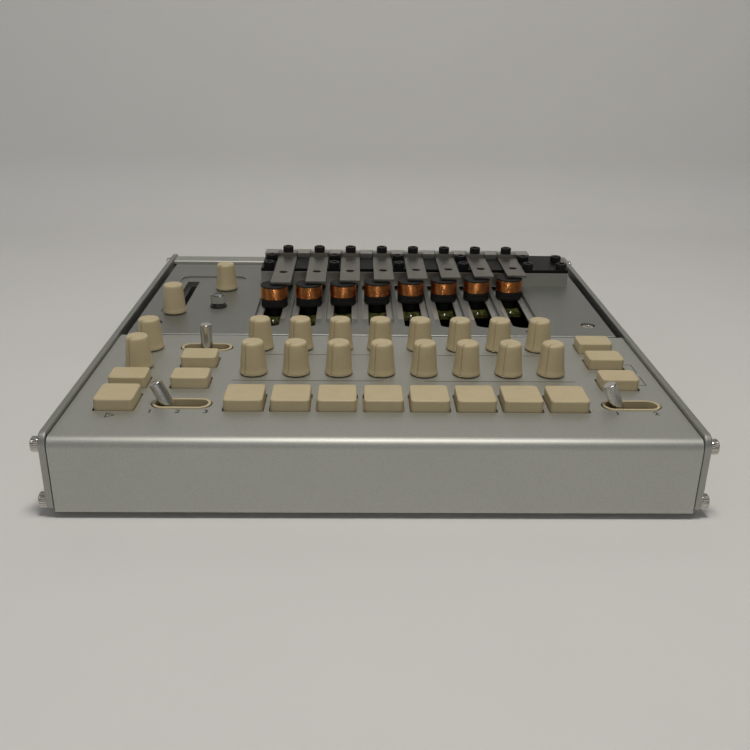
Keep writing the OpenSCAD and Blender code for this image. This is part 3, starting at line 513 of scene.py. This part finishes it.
for name in BUTTONS:
    low, high = box_mm(name)
    bm = bmesh.new()
    inner_low = (low.x + RIM_REACH, low.y + RIM_REACH, RIM_TOP)
    inner_high = (high.x - RIM_REACH, high.y - RIM_REACH, high.z)
    cap = block(inner_low, inner_high)
    round_edges(cap, edges_along(cap, 2), BUTTON_CORNER, 8)
    cap.normal_update()
    round_edges(cap, rim(cap, 2, 1), BUTTON_EDGE, 5)
    stamp(bm, cap)
    stamp(bm, rounded_block((low.x, low.y, RIM_LOW), (high.x, high.y, RIM_TOP), BUTTON_CORNER, RIM_EDGE, 1))
    stem = turned([
        (0, low.z), (STEM_R - 0.2, low.z), (STEM_R, low.z + 0.2), (STEM_R, RIM_LOW), (0, RIM_LOW)
    ], 24)
    stamp(bm, stem, at(MIDDLES[name].x, MIDDLES[name].y))
    finish_piece(name + "_cap", bm, name, [CREAM], [name])


# Toggle levers and their bezels

TOGGLES = ("mode_toggle", "rear_toggle", "bank_toggle")
TOGGLE_LEAN = {"mode_toggle": -24, "rear_toggle": 0, "bank_toggle": -24}
LEVER_R = 2.45
LEVER_L = 22.2
PIN_R = 1.0
PIN_HALF = 4.4


def lever_shape():
    """Turned lever with a ball at its pivot and a softened tip, on a cross pin."""
    quarter = [math.radians(10 * i) for i in range(10)]
    ball = [(LEVER_R * math.sin(a), -LEVER_R * math.cos(a)) for a in quarter]
    rod = [
        (LEVER_R, LEVER_L - 0.45), (LEVER_R - 0.08, LEVER_L - 0.22), (LEVER_R - 0.25, LEVER_L - 0.05),
        (LEVER_R - 0.45, LEVER_L), (0, LEVER_L),
    ]
    bm = turned(ball + rod, 48)
    pin = turned([(0, -PIN_HALF), (PIN_R, -PIN_HALF), (PIN_R, PIN_HALF), (0, PIN_HALF)], 24)
    stamp(bm, pin, Matrix.Rotation(math.radians(90), 4, "X"))
    return bm


for name in TOGGLES:
    bm = bmesh.new()
    lean = Matrix.Rotation(math.radians(TOGGLE_LEAN[name]), 4, "Y")
    stamp(bm, lever_shape(), Matrix.Translation(PIVOTS[name]) @ lean)
    finish_piece(name + "_lever", bm, name, [LEVER_STEEL], [name])


def stadium_ring(section, half):
    """A closed section of (distance, height) points swept round a slot with round ends."""
    bm = bmesh.new()
    points = [bm.verts.new((half, -d, z)) for d, z in section]
    edges = [bm.edges.new((a, b)) for a, b in zip(points, points[1:] + points[:1])]
    geom = points + edges
    for side in (1, -1):
        swept = bmesh.ops.spin(
            bm, geom=geom, cent=(side * half, 0, 0), axis=(0, 0, 1), angle=math.pi, steps=24, use_merge=False
        )["geom_last"]
        drawn = bmesh.ops.extrude_edge_only(bm, edges=[e for e in swept if isinstance(e, bmesh.types.BMEdge)])
        geom = [g for g in drawn["geom"] if not isinstance(g, bmesh.types.BMFace)]
        bmesh.ops.translate(bm, vec=(-side * 2 * half, 0, 0), verts=points_of(geom))
    weld(bm)
    return bm


BEZEL_W = 21.1
BEZEL_REACH = 4.2
BEZEL_TOP = PANEL_TOP + 0.4
COLLAR_REACH = 3.8
COLLAR_LOW = 27.8
SLOT_REACH = 3.1
bm = bmesh.new()
section = [
    (SLOT_REACH, COLLAR_LOW), (COLLAR_REACH, COLLAR_LOW), (COLLAR_REACH, PANEL_TOP),
    (BEZEL_REACH, PANEL_TOP), (BEZEL_REACH, BEZEL_TOP - 0.15), (BEZEL_REACH - 0.1, BEZEL_TOP - 0.03),
    (BEZEL_REACH - 0.25, BEZEL_TOP), (SLOT_REACH + 0.25, BEZEL_TOP),
    (SLOT_REACH + 0.08, BEZEL_TOP - 0.04), (SLOT_REACH, BEZEL_TOP - 0.18),
]
for name in TOGGLES:
    stamp(bm, stadium_ring(section, BEZEL_W / 2 - BEZEL_REACH), at(PIVOTS[name].x, PIVOTS[name].y))
finish_piece("toggle_bezel_rings", bm, CHASSIS, [CREAM], ["toggle_bezels"])


# Screws

HEAD_R = 2.75
HEAD_H = 3.0
SOCKET_FLATS = 2.5
KNURL_DEPTH = 0.2
KNURL_RIDGES = 22


def knurl(bm, radius):
    """Sinks two of every four steps round a rim, which leaves ridges."""
    for vert in bm.verts:
        step = round(math.atan2(vert.co.y, vert.co.x) / math.tau * 4 * KNURL_RIDGES)
        if vert.co.xy.length > radius - 0.01 and step % 4 > 1:
            vert.co.xy *= 1 - KNURL_DEPTH / radius


def hexed(bm, radius, above):
    """Pushes the rings inside a radius out of round, into a hexagon."""
    for vert in bm.verts:
        r = vert.co.xy.length
        if 0.1 < r < radius and vert.co.z > above:
            turn = math.atan2(vert.co.y, vert.co.x) % math.radians(60) - math.radians(30)
            vert.co.xy *= SOCKET_FLATS / 2 / math.cos(turn) / 1.25


def cap_screw_shape(length, high=HEAD_H):
    """Cap screw on z = 0: knurled head with a hexagon socket, and its shank below."""
    bm = turned([
        (0, 0.47 * high), (1.25, 0.47 * high), (1.25, high - 0.12), (1.37, high), (2.3, high),
        (2.52, high - 0.07), (2.66, high - 0.26), (HEAD_R, high - 0.42), (HEAD_R, 0.3), (2.62, 0.1), (2.5, 0),
        (1.45, 0), (1.45, 0.4 - length), (1.1, -length), (0, -length),
    ], 4 * KNURL_RIDGES)
    hexed(bm, 1.5, 0.3 * high)
    knurl(bm, HEAD_R)
    return bm


def flat_screw_shape(length):
    """Countersunk screw whose head looks down from z = 0, with a hexagon socket."""
    bm = turned([
        (0, -1.1), (1.25, -1.1), (1.25, -0.1), (1.35, 0), (2.75, 0), (2.85, -0.1), (1.45, -1.4),
        (1.45, 0.3 - length), (1.2, -length), (0, -length),
    ], 48)
    hexed(bm, 1.5, -1.2)
    bmesh.ops.rotate(bm, cent=(0, 0, 0), matrix=Matrix.Rotation(math.pi, 3, "X"), verts=bm.verts)
    return bm


CASE_HALF = 112.5
CASE_SCREWS = [(-113.5, 26.7), (-113.5, 5.4), (111.0, 27.5), (111.0, 5.4)]
BASE_SCREWS = [(-107.4, 2.5), (104.9, 2.5)]
DECK_SCREW = (98.4, -0.2, 28.2)
DECK_HEAD_H = 1.6
CASE_SCREW_L = 10
BASE_SCREW_X = 60
bm = bmesh.new()
for side in (1, -1):
    stamp(bm, cap_screw_shape(8, DECK_HEAD_H), at(side * DECK_SCREW[0], *DECK_SCREW[1:]))
for y, z in CASE_SCREWS:
    for side in (1, -1):
        outward = Matrix.Rotation(side * math.pi / 2, 4, "Y")
        stamp(bm, cap_screw_shape(CASE_SCREW_L), at(side * CASE_HALF, y, z) @ outward)
for y, z in BASE_SCREWS:
    for x in (-BASE_SCREW_X, BASE_SCREW_X):
        stamp(bm, flat_screw_shape(5), at(x, y, z))
finish_piece("case_screw_set", bm, CHASSIS, [SCREW_STEEL], ["case_screws"])

BAR_TOP = 39.1
CLAMP_TOP = 41.8
CLAMP_Y = 83.2
BAR_SCREW_ROWS = (62.4, 76.8)
STEP_PITCH = 16.7
STRIP_RIGHT = 3.35


def coil_x(k):
    """The magnets stand in line with the columns of steps."""
    return PIVOTS["rear_knob_1"].x + (k - 1) * STEP_PITCH


def strip_x(k):
    return coil_x(k) + STRIP_RIGHT


bar_low, bar_high = box_mm("bridge_bar")
BAR_SCREW_XS = [strip_x(1) + (j - 0.5) * STEP_PITCH for j in (0, 2, 4, 6, 8)] + [bar_high.x - 3.3]
bm = bmesh.new()
for x in BAR_SCREW_XS:
    for y in BAR_SCREW_ROWS:
        stamp(bm, cap_screw_shape(8), at(x, y, BAR_TOP) @ Matrix.Rotation(0.4 * x + y, 4, "Z"))
for k in range(1, VOICES + 1):
    stamp(bm, cap_screw_shape(9), at(strip_x(k), CLAMP_Y, CLAMP_TOP) @ Matrix.Rotation(1.7 * k, 4, "Z"))
finish_piece("bridge_screw_set", bm, CHASSIS, [SCREW_BLACK], ["bridge_screws"])


# Bridge, clamps and resonators

low, high = box_mm("bridge_block")
bm = softened_block(low, high, 0.35)
finish_piece("bridge_block_body", bm, CHASSIS, [BLOCK_LIGHT], ["bridge_block"])
bm = softened_block(bar_low, bar_high, 0.2)
finish_piece("bridge_bar_plate", bm, CHASSIS, [BAR_DARK], ["bridge_bar"])

STRIP_W = 9.8
STRIP_T = 1.2
NOTCH_HALF = STRIP_W / 2 + 0.2
SPINE_D = 2.0
low, high = box_mm("clamp_rail")
bm = bmesh.new()
outline = [(low.x, high.y), (low.x, low.y)]
spine = high.y - SPINE_D
for k in range(1, VOICES + 1):
    notch_left = strip_x(k) - NOTCH_HALF
    notch_right = strip_x(k) + NOTCH_HALF
    outline += [(notch_left, low.y), (notch_left, spine), (notch_right, spine), (notch_right, low.y)]
outline += [(high.x, low.y), (high.x, high.y)]
face = bm.faces.new([bm.verts.new((x, y, low.z)) for x, y in outline])
raise_faces(bm, [face], high.z - low.z)
round_edges(bm, bm.edges, 0.2, 2)
finish_piece("clamp_rail_comb", bm, CHASSIS, [BLOCK_LIGHT], ["clamp_rail"])


def drilled_patch(bm, y, radius, reach):
    """A patch of the strip's width round a hole, as a flat ring of faces."""
    half = STRIP_W / 2
    hole = bmesh.ops.create_circle(bm, segments=32, radius=radius)["verts"]
    border = bmesh.ops.create_circle(bm, segments=32, radius=half)["verts"]
    for vert in border:
        vert.co *= half / max(abs(vert.co.x), abs(vert.co.y))
        vert.co.y *= reach / half
    loops = {edge for vert in hole + border for edge in vert.link_edges}
    bmesh.ops.bridge_loops(bm, edges=list(loops))
    bmesh.ops.translate(bm, vec=(0, y, 0), verts=hole + border)


def drilled_strip(front, holes, thickness):
    """A flat strip about x = 0 from its front end to its last hole's patch, softened on every rim."""
    bm = bmesh.new()
    for hole in holes:
        drilled_patch(bm, *hole)
    stop = front
    for y, _, reach in holes:
        ends = [e for e in bm.edges if all(abs(v.co.y - y + reach) < 1e-4 for v in e.verts)]
        for point in points_of(bmesh.ops.extrude_edge_only(bm, edges=ends)["geom"]):
            point.co.y = stop
        stop = y + reach
    bmesh.ops.remove_doubles(bm, verts=bm.verts, dist=0.0005)
    raise_faces(bm, list(bm.faces), thickness)
    weld(bm)
    sharp = [e for e in bm.edges if len(e.link_faces) == 2 and e.calc_face_angle() > math.radians(60)]
    round_edges(bm, sharp, 0.12, 2)
    return bm


STRIP_BACK = 85.95
STRIP_L = 55.4
STRIP_STEP = 2.15
HOLE_BACK = 18.3
HOLE_STEP = 0.73
CLAMP_HOLE = (CLAMP_Y, 1.7, STRIP_BACK - CLAMP_Y)


def strip_front(k):
    return STRIP_BACK - STRIP_L + STRIP_STEP * (k - 1)


bm = bmesh.new()
for k in range(1, VOICES + 1):
    front = strip_front(k)
    holes = [(front + HOLE_BACK - HOLE_STEP * (k - 1), 2.05, STRIP_W / 2), CLAMP_HOLE]
    stamp(bm, drilled_strip(front, holes, STRIP_T), at(strip_x(k), 0, BAR_TOP))
finish_piece("resonator_strips", bm, CHASSIS, [STRIP_STEEL], ["resonators"])

low, high = box_mm("clamp_plates")
bm = bmesh.new()
for k in range(1, VOICES + 1):
    stamp(bm, drilled_strip(low.y, [CLAMP_HOLE], high.z - low.z), at(strip_x(k), 0, low.z))
finish_piece("clamp_plate_set", bm, CHASSIS, [STRIP_STEEL], ["clamp_plates"])


# Magnets

COIL_BACK = 2.5
COIL_TOP = 38.6
WINDING_TOP = 37.9
WINDING_LOW = 32.1
STEM_LOW = 23.4
FOOT_R = 6.35
SPOOL_R = 4.4
FLANGE_R = 6.5
WIRE_R = 0.135
WIRE_LOOPS = 20
LOOP_STEPS = 40
WINDING_R = 6.3
SOLDER_LEAD = 10.7


def bobbin_shape():
    """Bobbin on a stem: a chamfered foot with a groove round it, the spool, and a thin top flange."""
    return turned([
        (0, STEM_LOW), (3.9, STEM_LOW), (4.1, STEM_LOW + 0.2), (4.1, LEDGE_Z), (5.6, LEDGE_Z),
        (FOOT_R, LEDGE_Z + 0.75), (FOOT_R, 30.0), (6.2, 30.12), (6.2, 30.42), (FOOT_R, 30.55),
        (FOOT_R, WINDING_LOW - 0.3), (6.15, WINDING_LOW), (SPOOL_R, WINDING_LOW), (SPOOL_R, WINDING_TOP),
        (FOOT_R, WINDING_TOP), (FLANGE_R, WINDING_TOP + 0.15), (FLANGE_R, COIL_TOP - 0.2), (6.3, COIL_TOP),
        (2.6, COIL_TOP), (2.5, COIL_TOP - 0.15), (0, COIL_TOP - 0.15),
    ], 56)


def winding_shape(phase):
    """Plain inner layers and one outer layer of close loops, hand wound: its lay wanders a little."""
    bm = turned([
        (4.5, WINDING_LOW), (6.1, WINDING_LOW), (6.25, WINDING_LOW + 0.2), (6.25, WINDING_TOP - 0.2),
        (6.1, WINDING_TOP), (4.5, WINDING_TOP), (4.5, WINDING_LOW),
    ], 48)
    wire = bmesh.new()
    ring = bmesh.ops.create_circle(wire, segments=6, radius=WIRE_R)["verts"]
    upright = Matrix.Rotation(math.pi / 2, 3, "X")
    bmesh.ops.rotate(wire, cent=(0, 0, 0), matrix=upright, verts=ring)
    rise = (WINDING_TOP - WINDING_LOW - 2.6 * WIRE_R) / (WIRE_LOOPS * LOOP_STEPS)
    bmesh.ops.translate(wire, vec=(WINDING_R, 0, WINDING_LOW + 1.3 * WIRE_R), verts=ring)
    bmesh.ops.spin(
        wire, geom=ring + list(wire.edges), cent=(0, 0, 0), axis=(0, 0, 1), dvec=(0, 0, rise),
        angle=math.tau * WIRE_LOOPS, steps=WIRE_LOOPS * LOOP_STEPS, use_merge=False,
    )
    bmesh.ops.holes_fill(wire, edges=[e for e in wire.edges if len(e.link_faces) == 1], sides=6)
    for vert in wire.verts:
        turn = math.atan2(vert.co.y, vert.co.x)
        level = (vert.co.z - WINDING_LOW) / (WINDING_TOP - WINDING_LOW)
        bulge = 0.1 * math.sin(math.pi * level) + 0.04 * math.sin(3 * turn + phase + 2 * level)
        vert.co.xy *= 1 + bulge / WINDING_R
    stamp(bm, wire)
    return bm


solder_dome = [(0, STEM_LOW), (0.95, STEM_LOW), (0.85, 23.75), (0.5, 24.05), (0.2, 24.2), (0, 24.22)]
bobbins = bmesh.new()
windings = bmesh.new()
solder = bmesh.new()
for k in range(1, VOICES + 1):
    coil_y = strip_front(k) + COIL_BACK
    place = at(coil_x(k), coil_y) @ Matrix.Rotation(0.9 * k, 4, "Z")
    stamp(bobbins, bobbin_shape(), place)
    stamp(windings, winding_shape(1.3 * k), place)
    stamp(solder, turned(solder_dome, 24), at(coil_x(k), coil_y - SOLDER_LEAD))
finish_piece("solder_joints", solder, CHASSIS, [SOLDER_TIN])
finish_piece("magnet_bobbins", bobbins, CHASSIS, [BOBBIN_BLACK], ["coil_bobbins"])
finish_piece("magnet_windings", windings, CHASSIS, [COPPER], ["coil_windings"], 80)


# Case details

PLATE_CORNER = 4.0
PLATE_EDGE = 0.5
for node in ("left_side_plate", "right_side_plate"):
    low, high = box_mm(node)
    bm = rounded_block(low, high, PLATE_CORNER, PLATE_EDGE, 4, 0)
    finish_piece(node + "_cheek", bm, CHASSIS, [PLATE_SILVER], [node])

PAD_R = 6.0
PAD_H = 2.5
bm = bmesh.new()
low, high = box_mm("rubber_feet")
for x in (low.x + PAD_R, high.x - PAD_R):
    for y in (low.y + PAD_R, high.y - PAD_R):
        foot = turned([
            (0, 0.15), (3.0, 0.15), (3.3, 0), (5.2, 0), (5.6, 0.15), (5.75, 0.5), (PAD_R, PAD_H), (0, PAD_H)
        ], 48)
        stamp(bm, foot, at(x, y))
finish_piece("rubber_foot_set", bm, CHASSIS, [FOOT_RUBBER], ["rubber_feet"])

low, high = box_mm("light_guide")
middle = MIDDLES["light_guide"]
GUIDE_SEAT = 29.6
GUIDE_R = 3.55
guide = turned([
    (0, low.z), (2.0, low.z), (2.0, GUIDE_SEAT), (GUIDE_R, GUIDE_SEAT), (GUIDE_R, high.z - 0.7),
    (3.4, high.z - 0.3), (3.0, high.z - 0.05), (2.5, high.z), (0, high.z),
], 48)
bm = bmesh.new()
stamp(bm, guide, at(middle.x, middle.y))
finish_piece("light_guide_post", bm, CHASSIS, [CLEAR], ["light_guide"])
# Painted shade: a black ring at the clear post's foot stands in for the dark contact shade round the post's
# base.
shade_ring = turned([
    (3.6, GUIDE_SEAT), (4.0, GUIDE_SEAT), (4.05, GUIDE_SEAT + 0.5), (3.8, GUIDE_SEAT + 0.7),
    (3.6, GUIDE_SEAT + 0.6), (3.6, GUIDE_SEAT),
], 48)
bm = bmesh.new()
stamp(bm, shade_ring, at(middle.x, middle.y))
finish_piece("light_guide_shade_ring", bm, CHASSIS, [FOOT_RUBBER])

REAR_FACE = 114.5
SOCKET_STANDS = 1.5
SLEEVE_R = 4.0
SLEEVE_L = 16
NUT_R = 5.3
SOCKET_Z = 14.0
JACK_XS = (-84, -68, -52, -36)
INLET_X = 84


def socket_shape(bore, deep):
    """Sleeve with its mouth at z = 0, looking up, and a blind bore."""
    return turned([
        (0, -deep), (bore, -deep), (bore, -0.35), (bore + 0.35, 0), (SLEEVE_R - 0.3, 0), (SLEEVE_R, -0.3),
        (SLEEVE_R, -SLEEVE_L), (0, -SLEEVE_L),
    ], 48)


def ring_nut_shape():
    """Knurled ring nut that lies against the wall, 1.5 mm below the socket's mouth."""
    bm = turned([
        (4.02, -1.5), (5.2, -1.5), (NUT_R, -1.4), (NUT_R, -0.65), (5.0, -0.4), (4.02, -0.4), (4.02, -1.5)
    ], 4 * KNURL_RIDGES)
    knurl(bm, NUT_R)
    return bm


out_back = Matrix.Rotation(-math.pi / 2, 4, "X")
bm = bmesh.new()
for x in JACK_XS:
    mouth = at(x, REAR_FACE + SOCKET_STANDS, SOCKET_Z) @ out_back
    stamp(bm, socket_shape(1.8, 12.0), mouth)
    stamp(bm, ring_nut_shape(), mouth, 1)
    stamp(bm, softened_block((-5, -5, -SLEEVE_L), (5, 5, -3), 0.4), mouth)
mouth = at(INLET_X, REAR_FACE + SOCKET_STANDS, SOCKET_Z) @ out_back
stamp(bm, socket_shape(2.8, 9.5), mouth)
stamp(bm, turned([(0, -9.5), (1.0, -9.5), (1.0, -1.9), (0.6, -1.5), (0, -1.5)], 24), mouth, 1)
finish_piece("rear_socket_set", bm, CHASSIS, [SOCKET_BLACK, SCREW_STEEL], ["rear_sockets"])

for node, finish in (
    ("front_panel", PANEL_SILVER), ("rear_panel", PANEL_SILVER), ("deck_panel", DECK_GREY),
    ("base_plate", BASE_DARK), ("circuit_boards", BOARD), ("potentiometers", POT_GREY),
    ("panel_switches", SOCKET_BLACK),
):
    frame["nodes"][node].data.materials.clear()
    frame["nodes"][node].data.materials.append(finish)


# Prints on the control panel

INK_T = 0.03
INK_W = 0.36
NUMERAL_SIZE = 3.9
NUMERAL_WEIGHT = 0.06
RULES = [
    [(-55.0, -66.3), (3.1, -66.3)], [(19.3, -66.3), (77.3, -66.3)],
    [(-45.0, -38.9), (7.9, -38.9)], [(15.8, -38.9), (71.1, -38.9)],
]
BRACKET = [
    [(101.8, -48.3), (104.2, -48.3), (104.2, -56.8)], [(104.2, -60.8), (104.2, -69.3), (101.8, -69.3)],
]
PLAY_MARK = [[(-94.7, -99.7), (-94.7, -96.4), (-91.9, -98.05), (-94.7, -99.7), (-94.7, -96.4)]]
NUMERALS = [("1", -80.2), ("2", -70.4), ("3", -60.4), ("1", 86.2), ("2", 100.2)]
NUMERAL_ROW = -94.8


def numeral_shape(digit):
    """A numeral about its own middle, as a thin plate of ink."""
    curve = bpy.data.curves.new("numeral", "FONT")
    curve.body = digit
    curve.size = NUMERAL_SIZE
    curve.align_x = "CENTER"
    curve.align_y = "CENTER"
    curve.extrude = INK_T / 2
    curve.offset = NUMERAL_WEIGHT
    holder = bpy.data.objects.new("numeral", curve)
    bpy.context.scene.collection.objects.link(holder)
    plate = bpy.data.meshes.new_from_object(holder.evaluated_get(bpy.context.evaluated_depsgraph_get()))
    bm = bmesh.new()
    bm.from_mesh(plate)
    bpy.data.objects.remove(holder)
    bpy.data.curves.remove(curve)
    bpy.data.meshes.remove(plate)
    return bm


bm = bmesh.new()
for path in RULES + BRACKET + PLAY_MARK:
    for start, end in zip(path, path[1:]):
        run = Vector(end) - Vector(start)
        line = block((-INK_W / 2, -INK_W / 2, 0), (run.length + INK_W / 2, INK_W / 2, INK_T))
        stamp(bm, line, at(*start, PANEL_TOP) @ Matrix.Rotation(math.atan2(run.y, run.x), 4, "Z"))
for digit, x in NUMERALS:
    stamp(bm, numeral_shape(digit), at(x, NUMERAL_ROW, PANEL_TOP + INK_T / 2))
finish_piece("panel_prints", bm, CHASSIS, [INK])


# Stage, light and camera, in metres

FLOOR_FINISH = Finish("studio_paper")
paper_mottle = FLOOR_FINISH.noise(60, 3.0)
FLOOR_FINISH.surface({
    "Base Color": FLOOR_FINISH.tint(paper_mottle, (0.77, 0.765, 0.75), (0.8, 0.795, 0.78)),
    "Roughness": 0.85,
})
bm = bmesh.new()
SWEEP_START = 0.31
SWEEP_R = 0.05
SWEEP_HALF = 3
turns = [math.radians(7.5 * i) for i in range(13)]
sweep = [(-2.2, 0)]
sweep += [(SWEEP_START + SWEEP_R * math.sin(a), SWEEP_R - SWEEP_R * math.cos(a)) for a in turns]
sweep += [(SWEEP_START + SWEEP_R, 2.2)]
points = [bm.verts.new((-SWEEP_HALF, y, z)) for y, z in sweep]
edges = [bm.edges.new(pair) for pair in zip(points, points[1:])]
drawn = bmesh.ops.extrude_edge_only(bm, edges=edges)["geom"]
bmesh.ops.translate(bm, vec=(2 * SWEEP_HALF, 0, 0), verts=points_of(drawn))
for face in bm.faces:
    face.smooth = True
mesh = bpy.data.meshes.new("studio_sweep")
bm.to_mesh(mesh)
bm.free()
mesh.materials.append(FLOOR_FINISH.material)
floor = bpy.data.objects.new("studio_sweep", mesh)
bpy.context.scene.collection.objects.link(floor)


def soft_lamp(name, place, target, size, watts, colour):
    lamp = bpy.data.lights.new(name, "AREA")
    lamp.shape = "RECTANGLE"
    lamp.size, lamp.size_y = size
    lamp.energy = watts
    lamp.color = colour
    holder = bpy.data.objects.new(name, lamp)
    aim = Vector(target) - Vector(place)
    holder.matrix_world = Matrix.Translation(place) @ aim.to_track_quat("-Z", "Y").to_matrix().to_4x4()
    bpy.context.scene.collection.objects.link(holder)


soft_lamp("ceiling_panel", (0.03, -0.2, 0.85), (0.03, -0.2, 0), (0.2, 0.2), 3.6, (1.0, 0.965, 0.9))
soft_lamp("left_window", (-1.3, -0.5, 0.7), (0, 0, 0), (0.7, 0.7), 0.9, (0.92, 0.96, 1.0))
soft_lamp("front_bounce", (0, -1.6, 0.7), (0, 0, 0), (1.4, 0.8), 1.3, (1.0, 0.98, 0.95))
world = bpy.data.worlds.new("studio_air")
world.use_nodes = True
air = world.node_tree.nodes["Background"].inputs
air["Color"].default_value = (0.93, 0.95, 1.0, 1)
air["Strength"].default_value = 0.1
bpy.context.scene.world = world
bpy.context.scene.view_settings.view_transform = "Standard"

PITCH = math.radians(22.696)
YAW = math.radians(-1.267)
ROLL = math.radians(-0.8207)
CAMERA_PLACE = Vector((-6.9, -376.57, 162.47)) * MM
right = Vector((math.cos(YAW), math.sin(YAW), 0))
ahead = Vector((-math.sin(YAW), math.cos(YAW), 0)) * math.cos(PITCH) - Vector((0, 0, 1)) * math.sin(PITCH)
down = ahead.cross(right)
rolled_right = right * math.cos(ROLL) + down * math.sin(ROLL)
rolled_down = down * math.cos(ROLL) - right * math.sin(ROLL)
lens = bpy.data.cameras.new("photo_camera")
lens.sensor_width = 36
lens.lens = 42.03
lens.clip_start = 0.01
camera = bpy.data.objects.new("photo_camera", lens)
camera.matrix_world = Matrix((rolled_right, -rolled_down, -ahead)).transposed().to_4x4()
camera.matrix_world.translation = CAMERA_PLACE
bpy.context.scene.collection.objects.link(camera)
bpy.context.scene.camera = camera
